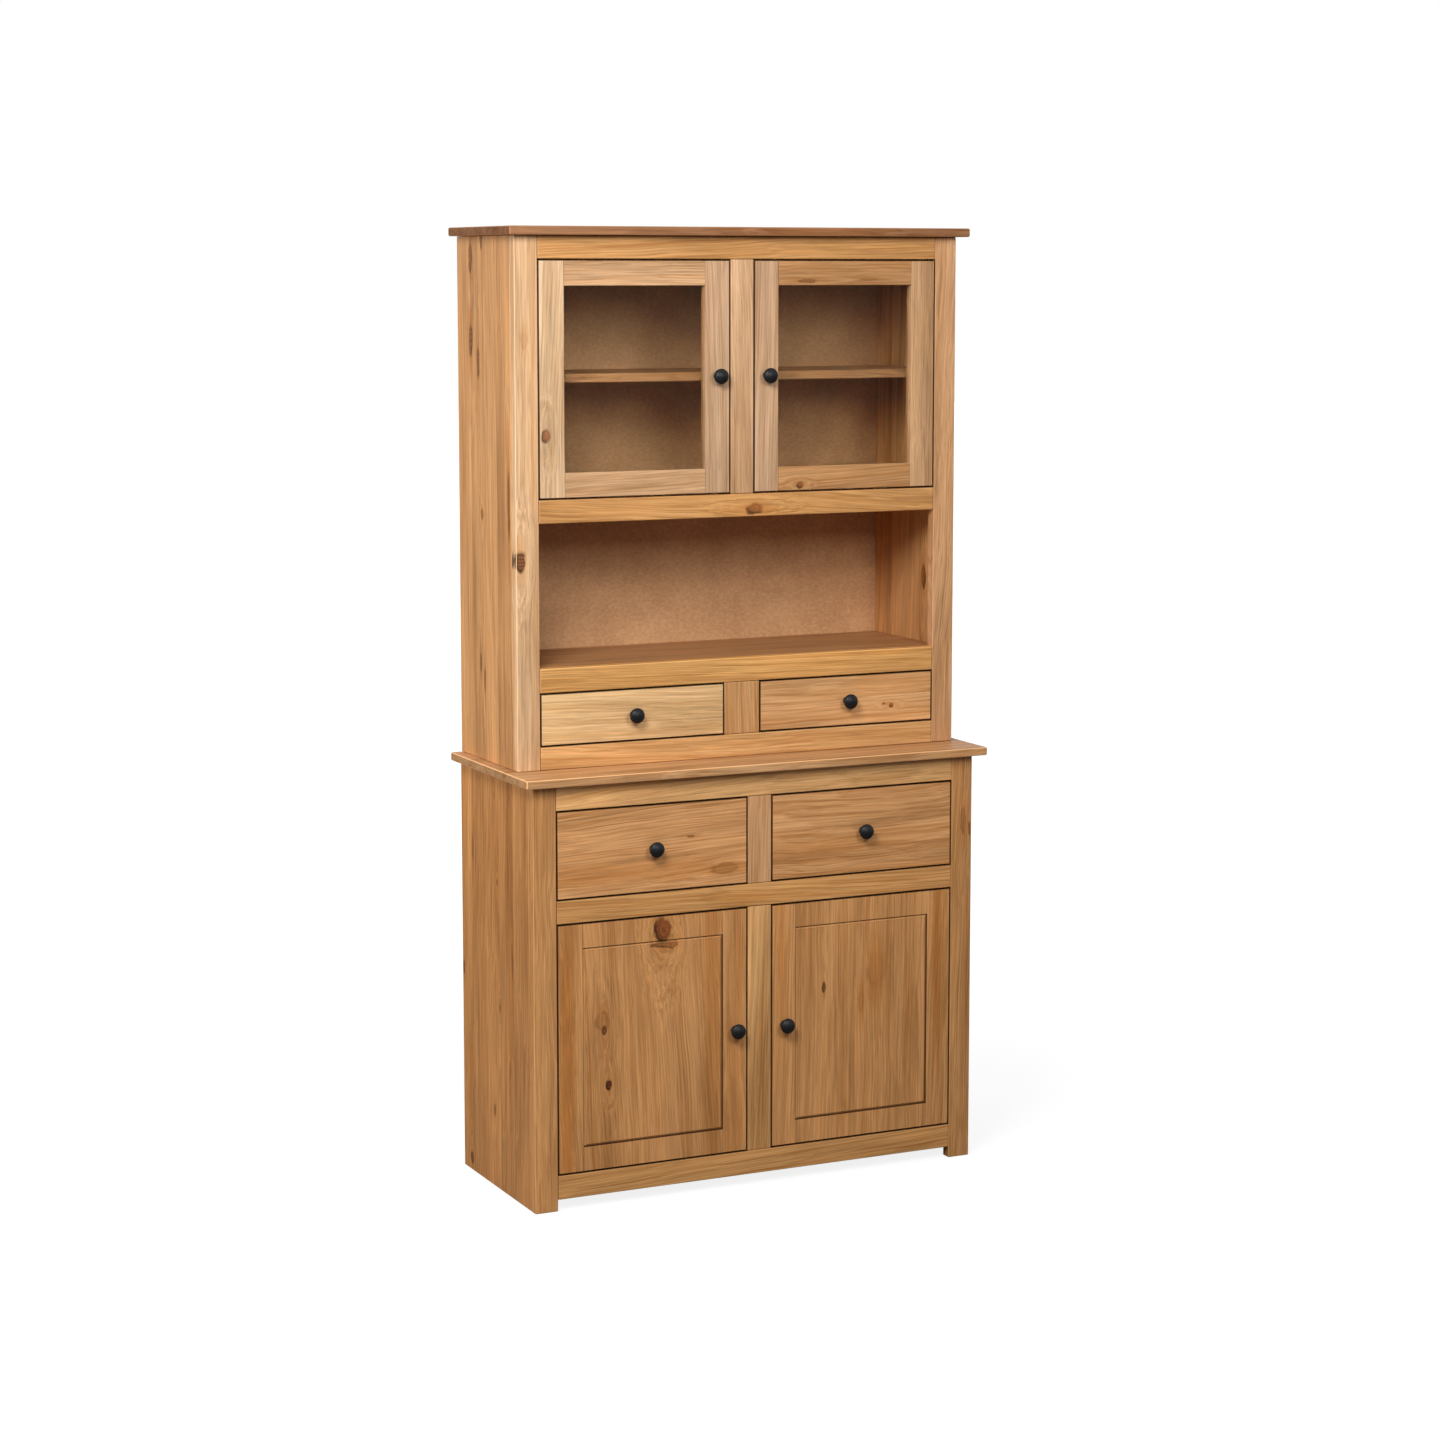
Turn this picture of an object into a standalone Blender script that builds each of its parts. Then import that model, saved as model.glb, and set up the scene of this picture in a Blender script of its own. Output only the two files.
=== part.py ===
"""A pine sideboard with a glazed hutch, built board by board.

Units are metres, +Z up. The front faces -Y and +X is to the right. The origin is on the floor,
midway between the ends of the top board, and midway between the knob fronts and the back.

A base cupboard (two drawers over two framed doors) carries a hutch (two glazed doors, an open
bay and two small drawers). Both have a face frame of stiles and rails, side panels behind it
and a thin back panel. Doors turn on pins in the rails, and drawers slide on a board behind them.
"""
import math
from collections import namedtuple

import bmesh
import bpy
from mathutils import Matrix, Vector

# Clearances
SEAT = 0.0003            # gap between a piece and what it rests on or fits against
PIN_FIT = 0.0003         # radial gap round pins, dowels and knob spigots
DOOR_SIDE_GAP = 0.0025   # gap between a door or drawer front and the stile beside it
REVEAL = 0.003           # gap above and below a door or drawer front
DRAWER_PLAY = 0.0015     # sideways play of a drawer box between its guides

# Timber
EDGE_ROUND = 0.001       # softened edge of frame boards
TOP_EDGE_ROUND = 0.003   # softened edge of the two top boards
FRAME_THICKNESS = 0.021
SIDE_THICKNESS = 0.018
DOOR_THICKNESS = 0.018
BACK_THICKNESS = 0.004
SHELF_THICKNESS = 0.016
FLOOR_THICKNESS = 0.018

# Base cupboard, from the floor up
BASE_WIDTH = 0.890
BASE_DEPTH = 0.354
STILE_WIDTH = 0.044
BASE_CENTRE_STILE = 0.048
FOOT_CLEARANCE = 0.021
BASE_BOTTOM_RAIL = 0.044
BASE_DOOR_OPENING = 0.458
BASE_MID_RAIL = 0.042
BASE_DRAWER_OPENING = 0.162
BASE_TOP_RAIL = 0.0455
BASE_TOP_BOARD = 0.016
BASE_TOP_SIDE_OVERHANG = 0.020
BASE_TOP_FRONT_OVERHANG = 0.0225
BASE_SHELF_HEIGHT = 0.200      # top of the inner shelf above the cupboard floor
BASE_SHELF_SETBACK = 0.040     # inner shelf behind the face frame

# Hutch, from the base top up
HUTCH_SIDE_INSET = 0.002       # hutch side panels inside those of the base
HUTCH_SETBACK = 0.0745         # hutch face frame behind the base face frame
HUTCH_DOOR_CENTRE_STILE = 0.0466
HUTCH_DRAWER_CENTRE_STILE = 0.0714
HUTCH_BOTTOM_RAIL = 0.042
HUTCH_DRAWER_OPENING = 0.097
HUTCH_SHELF_RAIL = 0.044
BAY_OPENING = 0.2585
HUTCH_MID_RAIL = 0.042
GLAZED_OPENING = 0.424
HUTCH_TOP_RAIL = 0.041
HUTCH_TOP_BOARD = 0.016
HUTCH_TOP_SIDE_OVERHANG = 0.017
HUTCH_TOP_FRONT_OVERHANG = 0.023
GLAZED_SHELF_HEIGHT = 0.2205   # top of the glazed cupboard's shelf above its floor
GLAZED_SHELF_SETBACK = 0.022   # that shelf behind the face frame

# Doors
DOOR_STILE = 0.0477
DOOR_RAIL = 0.0442
REBATE = 0.006                 # how far the glass or panel reaches into the frame
GLAZED_LIP = 0.008             # wood in front of the glass
GLASS_THICKNESS = 0.004
PANEL_LIP = 0.005              # wood in front of the panel's tongue
PANEL_TONGUE = 0.007
PANEL_MARGIN = 0.0035          # width of the groove that shows round a panel's field
PANEL_FIELD_DROP = 0.0004      # the field's front behind the frame's front

# Door pins, which are part of the door frames and turn in holes in the rails
PIN_RADIUS = 0.0025
PIN_DEPTH = 0.012              # length of a pin in the rail
PIN_ROOT = 0.004               # length of a pin inside the door frame
PIN_FROM_DOOR_EDGE = 0.009
PIN_FROM_DOOR_FRONT = 0.006

# Drawers
FRONT_THICKNESS = 0.018
DRAWER_SIDE = 0.012
DRAWER_BOTTOM = 0.004
DRAWER_BOTTOM_LIFT = 0.004     # the bottom above the lower edge of the sides
DRAWER_SIDE_DROP = 0.030       # the sides' top edge below the top of the opening
DRAWER_BACK_DROP = 0.008       # the back's top edge below that of the sides
DRAWER_TAIL = 0.020            # free depth behind the drawer box
DRAWER_BOARD = 0.018           # board that the drawers slide on
DRAWER_BOARD_LIFT = 0.001      # its top above the rail that the drawer slides over
GUIDE_HEIGHT = 0.030           # guide strips above that board
GUIDE_ROOT = 0.002             # guide strips let into that board

# Knobs
KNOB_PROUD = 0.025             # knob front in front of the door or drawer
KNOB_RADIUS = 0.014
KNOB_WIDEST = 0.0165           # height above the face at which the head is widest
KNOB_NECK_RADIUS = 0.0055
KNOB_NECK_TOP = 0.008
KNOB_FOOT_RADIUS = 0.0075
KNOB_SPIGOT_RADIUS = 0.002
KNOB_SPIGOT = 0.012
KNOB_TURN_STEPS = 16
KNOB_ABOVE_CENTRE = 0.002      # door knobs above the middle of the door

# Shelf housings and door catches
HOUSING_DEPTH = 0.005          # shelf ends let into the side panels
CATCH_HALF_WIDTH = 0.044
CATCH_HEIGHT = 0.014
CATCH_THICKNESS = 0.012
CATCH_DROP = 0.030             # catch below the top of the door opening
MAGNET_WIDTH = 0.012
STRIKE_THICKNESS = 0.0012
ROUND_SIDES = 12               # facets of pins and round holes

# Worked out from the sizes above
BASE_HALF = BASE_WIDTH / 2
HUTCH_HALF = BASE_HALF - HUTCH_SIDE_INSET
BACK_Y = (BASE_DEPTH + max(KNOB_PROUD, BASE_TOP_FRONT_OVERHANG)) / 2
BASE_FRONT_Y = BACK_Y - BASE_DEPTH
HUTCH_FRONT_Y = BASE_FRONT_Y + HUTCH_SETBACK

SIDES = ((-1, "left"), (1, "right"))
Span = namedtuple("Span", "low high")
Finish = namedtuple("Finish", "colour roughness metallic alpha")

# Colours are linear
PINE_FRONT = Finish((0.60, 0.36, 0.15), 0.45, 0.0, 1.0)
PINE_DOOR = Finish((0.52, 0.30, 0.13), 0.45, 0.0, 1.0)
PINE_SIDE = Finish((0.46, 0.25, 0.10), 0.45, 0.0, 1.0)
PINE_TOP = Finish((0.38, 0.20, 0.10), 0.45, 0.0, 1.0)
PINE_INNER = Finish((0.42, 0.26, 0.13), 0.60, 0.0, 1.0)
FIBREBOARD = Finish((0.40, 0.24, 0.12), 0.70, 0.0, 1.0)
GLASS = Finish((0.90, 0.95, 0.93), 0.03, 0.0, 0.35)
BLACK_SATIN = Finish((0.010, 0.012, 0.016), 0.35, 0.0, 1.0)
STEEL = Finish((0.55, 0.55, 0.56), 0.30, 1.0, 1.0)


def stack(start, *heights):
    """Spans that follow each other upwards from start."""
    spans = []
    for height in heights:
        spans.append(Span(start, start + height))
        start += height
    return spans


def within(span, gap=SEAT):
    """The span pulled in by gap at both ends."""
    return Span(span.low + gap, span.high - gap)


def side_span(side, inner, outer):
    """A span from inner to outer distance from the centre line, on side -1 or +1."""
    return Span(min(side * inner, side * outer), max(side * inner, side * outer))


def middle(span):
    """The middle of a span."""
    return (span.low + span.high) / 2


# Heights of the face frames' members and openings
(BASE_FOOT_Z, BASE_BOTTOM_RAIL_Z, BASE_DOOR_Z, BASE_MID_RAIL_Z, BASE_DRAWER_Z, BASE_TOP_RAIL_Z,
 BASE_TOP_Z) = stack(0.0, FOOT_CLEARANCE, BASE_BOTTOM_RAIL, BASE_DOOR_OPENING, BASE_MID_RAIL,
                     BASE_DRAWER_OPENING, BASE_TOP_RAIL, BASE_TOP_BOARD)
(HUTCH_BOTTOM_RAIL_Z, HUTCH_DRAWER_Z, HUTCH_SHELF_RAIL_Z, BAY_Z, HUTCH_MID_RAIL_Z, GLAZED_Z,
 HUTCH_TOP_RAIL_Z, HUTCH_TOP_Z) = stack(BASE_TOP_Z.high, HUTCH_BOTTOM_RAIL, HUTCH_DRAWER_OPENING,
                                        HUTCH_SHELF_RAIL, BAY_OPENING, HUTCH_MID_RAIL,
                                        GLAZED_OPENING, HUTCH_TOP_RAIL, HUTCH_TOP_BOARD)
HUTCH_FOOT_Z = HUTCH_BOTTOM_RAIL_Z.low + SEAT
BACK_PANEL_Y = Span(BACK_Y - BACK_THICKNESS, BACK_Y)


class Carcass:
    """Planes that the boards of the base or of the hutch share."""

    def __init__(self, half, front, z):
        self.half = half
        self.front = front
        self.z = z
        self.stile_inner = half - STILE_WIDTH
        self.side_inner = half - SIDE_THICKNESS
        self.frame_y = Span(front, front + FRAME_THICKNESS)
        self.side_y = Span(self.frame_y.high + SEAT, BACK_Y)
        self.inside_y = Span(self.frame_y.high + SEAT, BACK_PANEL_Y.low - SEAT)
        self.inside_x = within(Span(-self.side_inner, self.side_inner))
        self.rail_x = within(Span(-self.stile_inner, self.stile_inner))


BASE = Carcass(BASE_HALF, BASE_FRONT_Y, Span(0.0, BASE_TOP_Z.low))
HUTCH = Carcass(HUTCH_HALF, HUTCH_FRONT_Y, Span(HUTCH_FOOT_Z, HUTCH_TOP_Z.low))


class DoorPlace:
    """Where one door hangs: its outline, its glass or panel opening and its pin axis."""

    def __init__(self, carcass, side, centre_half, opening):
        near = centre_half + DOOR_SIDE_GAP
        far = carcass.stile_inner - DOOR_SIDE_GAP
        self.side = side
        self.opening = opening
        self.y = Span(carcass.front, carcass.front + DOOR_THICKNESS)
        self.x = side_span(side, near, far)
        self.z = within(opening, REVEAL)
        self.light_x = within(self.x, DOOR_STILE)
        self.light_z = within(self.z, DOOR_RAIL)
        self.pin_x = side * (far - PIN_FROM_DOOR_EDGE)
        self.pin_y = carcass.front + PIN_FROM_DOOR_FRONT
        self.knob = (side * (near + DOOR_STILE / 2), self.y.low, middle(self.z) + KNOB_ABOVE_CENTRE)


class DrawerPlace:
    """Where one drawer runs: its front's outline, and its box behind the front."""

    def __init__(self, carcass, side, centre_half, opening):
        near = centre_half + DOOR_SIDE_GAP
        far = carcass.stile_inner - DOOR_SIDE_GAP
        self.x = side_span(side, near, far)
        self.z = within(opening, REVEAL)
        self.y = Span(carcass.front, carcass.front + FRONT_THICKNESS)
        self.box_x = side_span(side, centre_half + DRAWER_PLAY, carcass.stile_inner - DRAWER_PLAY)
        self.box_y = Span(self.y.high + SEAT, carcass.inside_y.high - DRAWER_TAIL)
        self.box_z = Span(opening.low + DRAWER_BOARD_LIFT + SEAT, opening.high - DRAWER_SIDE_DROP)


def new_collection(name, is_cutter=False):
    """A collection linked to the scene."""
    collection = bpy.data.collections.new(name)
    bpy.context.scene.collection.children.link(collection)
    collection.hide_render = is_cutter
    return collection


def make_material(name, finish):
    """A Principled material with the finish's colour, roughness, metallic value and alpha."""
    material = bpy.data.materials.new(name)
    material.use_nodes = True
    shader = material.node_tree.nodes["Principled BSDF"]
    shader.inputs["Base Color"].default_value = (*finish.colour, 1.0)
    shader.inputs["Roughness"].default_value = finish.roughness
    shader.inputs["Metallic"].default_value = finish.metallic
    shader.inputs["Alpha"].default_value = finish.alpha
    return material


def add_box(mesh, x, y, z, edge=0.0):
    """Adds a box between three spans to a bmesh, with its edges cut back by edge."""
    centre = Vector((middle(x), middle(y), middle(z)))
    size = Vector((x.high - x.low, y.high - y.low, z.high - z.low))
    made = bmesh.ops.create_cube(mesh, size=1.0, matrix=Matrix.LocRotScale(centre, None, size))
    if edge:
        edges = list({link for vert in made["verts"] for link in vert.link_edges})
        bmesh.ops.bevel(mesh, geom=edges, offset=edge, segments=1, affect="EDGES")


def add_rod(mesh, centre, axis, length, radius):
    """Adds a capped cylinder about centre, along axis, to a bmesh."""
    turn = Vector((0, 0, 1)).rotation_difference(Vector(axis)).to_matrix().to_4x4()
    bmesh.ops.create_cone(mesh, cap_ends=True, segments=ROUND_SIDES, radius1=radius,
                          radius2=radius, depth=length, matrix=Matrix.Translation(centre) @ turn)


class Workshop:
    """Makes the named pieces and puts them in their collections."""

    def __init__(self):
        self.parts = new_collection("sideboard")
        self.cutters = new_collection("cutters", is_cutter=True)

    def link(self, name, data, finish, location, parent=None):
        """Links a mesh as a part at a world location, under a parent if it has one."""
        part = bpy.data.objects.new(name, data)
        if not data.materials:
            data.materials.append(make_material(name, finish))
        part.parent = parent
        part.location = Vector(location) - (parent.location if parent else Vector())
        self.parts.objects.link(part)
        return part

    def place(self, name, mesh, finish, centre, parent=None):
        """Turns a bmesh in world coordinates into a part whose origin is at centre."""
        bmesh.ops.translate(mesh, verts=mesh.verts, vec=-Vector(centre))
        data = bpy.data.meshes.new(name)
        mesh.to_mesh(data)
        mesh.free()
        return self.link(name, data, finish, centre, parent)

    def board(self, name, x, y, z, finish, edge=EDGE_ROUND, parent=None):
        """A straight board between three spans."""
        mesh = bmesh.new()
        add_box(mesh, x, y, z, edge)
        return self.place(name, mesh, finish, (middle(x), middle(y), middle(z)), parent)

    def work(self, part, name, operation, boxes=(), rods=()):
        """Cuts boxes and round rods, given in world coordinates, out of a part, or joins them on."""
        mesh = bmesh.new()
        for x, y, z in boxes:
            add_box(mesh, x, y, z)
        for centre, axis, length, radius in rods:
            add_rod(mesh, Vector(centre), axis, length, radius)
        data = bpy.data.meshes.new(name)
        mesh.to_mesh(data)
        mesh.free()
        tool = bpy.data.objects.new(name, data)
        tool.hide_render = True
        tool.display_type = "WIRE"
        self.cutters.objects.link(tool)
        modifier = part.modifiers.new(name, "BOOLEAN")
        modifier.operation = operation
        modifier.solver = "EXACT"
        modifier.object = tool

    def cut(self, part, name, boxes=(), rods=()):
        """Cuts boxes and round rods out of a part."""
        self.work(part, f"{part.name}_{name}", "DIFFERENCE", boxes, rods)

    def join(self, part, name, boxes=(), rods=()):
        """Joins boxes and round rods, which reach into the part, onto it."""
        self.work(part, f"{part.name}_{name}", "UNION", boxes, rods)

    def axis_empty(self, name, location):
        """An empty on a joint's axis, which carries the moving pieces."""
        empty = bpy.data.objects.new(name, None)
        empty.empty_display_size = 0.05
        empty.location = location
        self.parts.objects.link(empty)
        return empty


def blind_hole(mouth, axis, depth, radius):
    """A round cutter from just outside a face to just past depth; axis points into the wood."""
    length = depth + 2 * SEAT
    centre = Vector(mouth) + Vector(axis) * (depth / 2)
    return centre, axis, length, radius + PIN_FIT


def make_stiles(shop, prefix, carcass):
    """The two outer stiles, which run the full height of the carcass."""
    for side, word in SIDES:
        x = side_span(side, carcass.stile_inner, carcass.half)
        shop.board(f"{prefix}_{word}_front_stile", x, carcass.frame_y, carcass.z, PINE_FRONT)


def make_side_panels(shop, prefix, carcass, shelf_y, shelf_z):
    """The two side panels behind the stiles, with a housing for the shelf's ends."""
    for side, word in SIDES:
        x = side_span(side, carcass.side_inner, carcass.half)
        panel = shop.board(f"{prefix}_{word}_side_panel", x, carcass.side_y, carcass.z, PINE_SIDE)
        depth = side_span(side, carcass.side_inner - SEAT, carcass.side_inner + HOUSING_DEPTH)
        shop.cut(panel, "housing", boxes=[(depth, within(shelf_y, -SEAT), within(shelf_z, -SEAT))])


def make_shelf(shop, name, carcass, y, z):
    """A shelf whose ends lie in the housings of the side panels."""
    reach = carcass.side_inner + HOUSING_DEPTH - SEAT
    shop.board(name, Span(-reach, reach), y, z, PINE_INNER)


def make_drawer_board(shop, name, carcass, centre_half, opening):
    """The board that a pair of drawers slides on, with guide strips beside and between them."""
    top = opening.low + DRAWER_BOARD_LIFT
    board_z = Span(top - DRAWER_BOARD, top)
    board = shop.board(name, carcass.inside_x, carcass.inside_y, board_z, PINE_INNER, edge=0.0)
    strip_z = Span(top - GUIDE_ROOT, top + GUIDE_HEIGHT)
    strip_y = within(carcass.inside_y, SEAT)
    strips = [(Span(-centre_half, centre_half), strip_y, strip_z)]
    for side, _ in SIDES:
        strip_x = side_span(side, carcass.stile_inner, carcass.inside_x.high - SEAT)
        strips.append((strip_x, strip_y, strip_z))
    shop.join(board, "guides", boxes=strips)


def make_top_board(shop, name, carcass, z, side_overhang, front_overhang):
    """A top board that overhangs at both ends and in front."""
    reach = carcass.half + side_overhang
    y = Span(carcass.front - front_overhang, BACK_Y)
    shop.board(name, Span(-reach, reach), y, Span(z.low + SEAT, z.high), PINE_TOP, TOP_EDGE_ROUND)


def make_catch(shop, name, carcass, opening):
    """A twin magnetic catch on the back of a centre stile, its two magnets facing the doors."""
    high = opening.high - CATCH_DROP
    z = Span(high - CATCH_HEIGHT, high)
    body_y = Span(carcass.frame_y.high + SEAT, carcass.frame_y.high + SEAT + CATCH_THICKNESS)
    body = shop.board(name, Span(-CATCH_HALF_WIDTH, CATCH_HALF_WIDTH), body_y, z, BLACK_SATIN, 0.0)
    face = carcass.front + DOOR_THICKNESS + SEAT + STRIKE_THICKNESS + SEAT
    magnet_y = Span(face, middle(body_y))
    magnets = [(side_span(side, CATCH_HALF_WIDTH - MAGNET_WIDTH, CATCH_HALF_WIDTH - SEAT), magnet_y,
                within(z)) for side, _ in SIDES]
    shop.join(body, "magnets", boxes=magnets)


def cut_pin_holes(shop, lower_rail, upper_rail, doors):
    """Holes for the door pins in the rails below and above a pair of doors."""
    low = [blind_hole((door.pin_x, door.pin_y, door.opening.low), (0, 0, -1), PIN_DEPTH, PIN_RADIUS)
           for door in doors]
    high = [blind_hole((door.pin_x, door.pin_y, door.opening.high), (0, 0, 1), PIN_DEPTH, PIN_RADIUS)
            for door in doors]
    shop.cut(lower_rail, "pin_holes", rods=low)
    shop.cut(upper_rail, "pin_holes", rods=high)


def make_base(shop, doors):
    """The base cupboard's fixed boards."""
    rail = {}
    for word, z in (("bottom", BASE_BOTTOM_RAIL_Z), ("mid", BASE_MID_RAIL_Z), ("top", BASE_TOP_RAIL_Z)):
        rail[word] = shop.board(f"base_{word}_rail", BASE.rail_x, BASE.frame_y, z, PINE_FRONT)
    cut_pin_holes(shop, rail["bottom"], rail["mid"], doors)
    make_stiles(shop, "base", BASE)
    centre_half = BASE_CENTRE_STILE / 2
    centre_x = Span(-centre_half, centre_half)
    shop.board("base_door_centre_stile", centre_x, BASE.frame_y, within(BASE_DOOR_Z), PINE_FRONT)
    shop.board("base_drawer_centre_stile", centre_x, BASE.frame_y, within(BASE_DRAWER_Z), PINE_FRONT)
    floor_z = Span(BASE_DOOR_Z.low - FLOOR_THICKNESS, BASE_DOOR_Z.low)
    shelf_high = BASE_DOOR_Z.low + BASE_SHELF_HEIGHT
    shelf_z = Span(shelf_high - SHELF_THICKNESS, shelf_high)
    shelf_y = Span(BASE.frame_y.high + BASE_SHELF_SETBACK, BASE.inside_y.high)
    make_side_panels(shop, "base", BASE, shelf_y, shelf_z)
    shop.board("base_floor_board", BASE.inside_x, BASE.inside_y, floor_z, PINE_INNER)
    make_shelf(shop, "base_inner_shelf", BASE, shelf_y, shelf_z)
    make_drawer_board(shop, "base_drawer_board", BASE, centre_half, BASE_DRAWER_Z)
    back_z = Span(floor_z.low, BASE.z.high)
    shop.board("base_back_panel", BASE.inside_x, BACK_PANEL_Y, back_z, FIBREBOARD, 0.0)
    make_top_board(shop, "base_top_board", BASE, BASE_TOP_Z, BASE_TOP_SIDE_OVERHANG,
                   BASE_TOP_FRONT_OVERHANG)
    make_catch(shop, "base_door_catch", BASE, BASE_DOOR_Z)


def make_hutch(shop, doors):
    """The hutch's fixed boards."""
    rail = {}
    for word, z in (("bottom", Span(HUTCH.z.low, HUTCH_BOTTOM_RAIL_Z.high)),
                    ("shelf", HUTCH_SHELF_RAIL_Z), ("mid", HUTCH_MID_RAIL_Z), ("top", HUTCH_TOP_RAIL_Z)):
        rail[word] = shop.board(f"hutch_{word}_rail", HUTCH.rail_x, HUTCH.frame_y, z, PINE_FRONT)
    cut_pin_holes(shop, rail["mid"], rail["top"], doors)
    make_stiles(shop, "hutch", HUTCH)
    door_half = HUTCH_DOOR_CENTRE_STILE / 2
    drawer_half = HUTCH_DRAWER_CENTRE_STILE / 2
    shop.board("hutch_door_centre_stile", Span(-door_half, door_half), HUTCH.frame_y,
               within(GLAZED_Z), PINE_FRONT)
    shop.board("hutch_drawer_centre_stile", Span(-drawer_half, drawer_half), HUTCH.frame_y,
               within(HUTCH_DRAWER_Z), PINE_FRONT)
    shelf_high = GLAZED_Z.low + GLAZED_SHELF_HEIGHT
    shelf_z = Span(shelf_high - SHELF_THICKNESS, shelf_high)
    shelf_y = Span(HUTCH.frame_y.high + GLAZED_SHELF_SETBACK, HUTCH.inside_y.high)
    make_side_panels(shop, "hutch", HUTCH, shelf_y, shelf_z)
    make_shelf(shop, "hutch_glazed_shelf", HUTCH, shelf_y, shelf_z)
    for word, opening in (("cupboard", GLAZED_Z), ("bay", BAY_Z)):
        z = Span(opening.low - FLOOR_THICKNESS, opening.low)
        shop.board(f"hutch_{word}_floor", HUTCH.inside_x, HUTCH.inside_y, z, PINE_INNER)
    make_drawer_board(shop, "hutch_drawer_board", HUTCH, drawer_half, HUTCH_DRAWER_Z)
    shop.board("hutch_back_panel", HUTCH.inside_x, BACK_PANEL_Y, HUTCH.z, FIBREBOARD, 0.0)
    make_top_board(shop, "hutch_top_board", HUTCH, HUTCH_TOP_Z, HUTCH_TOP_SIDE_OVERHANG,
                   HUTCH_TOP_FRONT_OVERHANG)
    make_catch(shop, "glazed_door_catch", HUTCH, GLAZED_Z)


def knob_profile():
    """Half outline of a knob, as radius and height from the tip of its dome to its spigot."""
    outline = []
    dome_steps = 4
    for step in range(dome_steps + 1):
        angle = math.radians(90 * step / dome_steps)
        outline.append((KNOB_RADIUS * math.sin(angle),
                        KNOB_WIDEST + (KNOB_PROUD - KNOB_WIDEST) * math.cos(angle)))
    neck_steps = 3
    for step in range(1, neck_steps + 1):
        angle = math.radians(90 * step / neck_steps)
        outline.append((KNOB_NECK_RADIUS + (KNOB_RADIUS - KNOB_NECK_RADIUS) * math.cos(angle),
                        KNOB_WIDEST - (KNOB_WIDEST - KNOB_NECK_TOP) * math.sin(angle)))
    outline.append((KNOB_FOOT_RADIUS, SEAT + KNOB_FOOT_RADIUS - KNOB_NECK_RADIUS))
    outline.append((KNOB_FOOT_RADIUS, SEAT))
    outline.append((KNOB_SPIGOT_RADIUS, SEAT))
    outline.append((KNOB_SPIGOT_RADIUS, -KNOB_SPIGOT))
    outline.append((0.0, -KNOB_SPIGOT))
    return outline


def make_knob_mesh():
    """The knob's half outline as a line of edges, for a Screw modifier about Z."""
    mesh = bmesh.new()
    verts = [mesh.verts.new((radius, 0.0, height)) for radius, height in knob_profile()]
    for first, second in zip(verts, verts[1:]):
        mesh.edges.new((first, second))
    data = bpy.data.meshes.new("knob_profile")
    mesh.to_mesh(data)
    mesh.free()
    return data


def make_knob(shop, name, outline, location, parent):
    """A turned knob that points forwards, its spigot in the wood behind."""
    knob = shop.link(name, outline, BLACK_SATIN, location, parent)
    knob.rotation_euler = (math.radians(90), 0.0, 0.0)
    turn = knob.modifiers.new("turn", "SCREW")
    turn.axis = "Z"
    turn.angle = math.radians(360)
    turn.steps = KNOB_TURN_STEPS
    turn.render_steps = KNOB_TURN_STEPS
    turn.use_merge_vertices = True
    turn.merge_threshold = 0.0001
    turn.use_smooth_shade = True


def knob_hole(location):
    """The bore behind a knob."""
    return blind_hole(location, (0, 1, 0), KNOB_SPIGOT, KNOB_SPIGOT_RADIUS)


def make_door_frame(shop, prefix, place, hinge, groove_y):
    """A door frame with a groove for its glass or panel, its two pins and the knob's bore."""
    frame = shop.board(f"{prefix}_frame", place.x, place.y, place.z, PINE_DOOR, parent=hinge)
    through_y = within(place.y, -REBATE)
    opening = (place.light_x, through_y, place.light_z)
    groove = (within(place.light_x, -REBATE), groove_y, within(place.light_z, -REBATE))
    shop.cut(frame, "opening", boxes=[opening])
    shop.cut(frame, "groove", boxes=[groove])
    shop.cut(frame, "knob_hole", rods=[knob_hole(place.knob)])
    length = PIN_DEPTH + REVEAL + PIN_ROOT
    low = place.opening.low - PIN_DEPTH + length / 2
    high = place.opening.high + PIN_DEPTH - length / 2
    pins = [((place.pin_x, place.pin_y, z), (0, 0, 1), length, PIN_RADIUS) for z in (low, high)]
    shop.join(frame, "pins", rods=pins)


def make_strike(shop, prefix, place, hinge):
    """The steel plate on the back of a door that the catch's magnet holds."""
    x = side_span(place.side, CATCH_HALF_WIDTH - MAGNET_WIDTH, CATCH_HALF_WIDTH)
    y = Span(place.y.high + SEAT, place.y.high + SEAT + STRIKE_THICKNESS)
    high = place.opening.high - CATCH_DROP
    shop.board(f"{prefix}_strike", x, y, Span(high - CATCH_HEIGHT, high), STEEL, 0.0, hinge)


def hinge_empty(shop, prefix, place):
    """The empty on a door's pin axis."""
    return shop.axis_empty(f"{prefix}_axis", (place.pin_x, place.pin_y, middle(place.z)))


def make_glazed_door(shop, prefix, place, outline):
    """A door frame with a pane of glass in its groove."""
    hinge = hinge_empty(shop, prefix, place)
    groove_low = place.y.low + GLAZED_LIP
    groove_y = Span(groove_low, groove_low + GLASS_THICKNESS + 2 * SEAT)
    make_door_frame(shop, prefix, place, hinge, groove_y)
    reach = SEAT - REBATE
    shop.board(f"{prefix}_glass", within(place.light_x, reach), within(groove_y),
               within(place.light_z, reach), GLASS, 0.0, hinge)
    make_knob(shop, f"{prefix}_knob", outline, place.knob, hinge)
    make_strike(shop, prefix, place, hinge)


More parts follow.
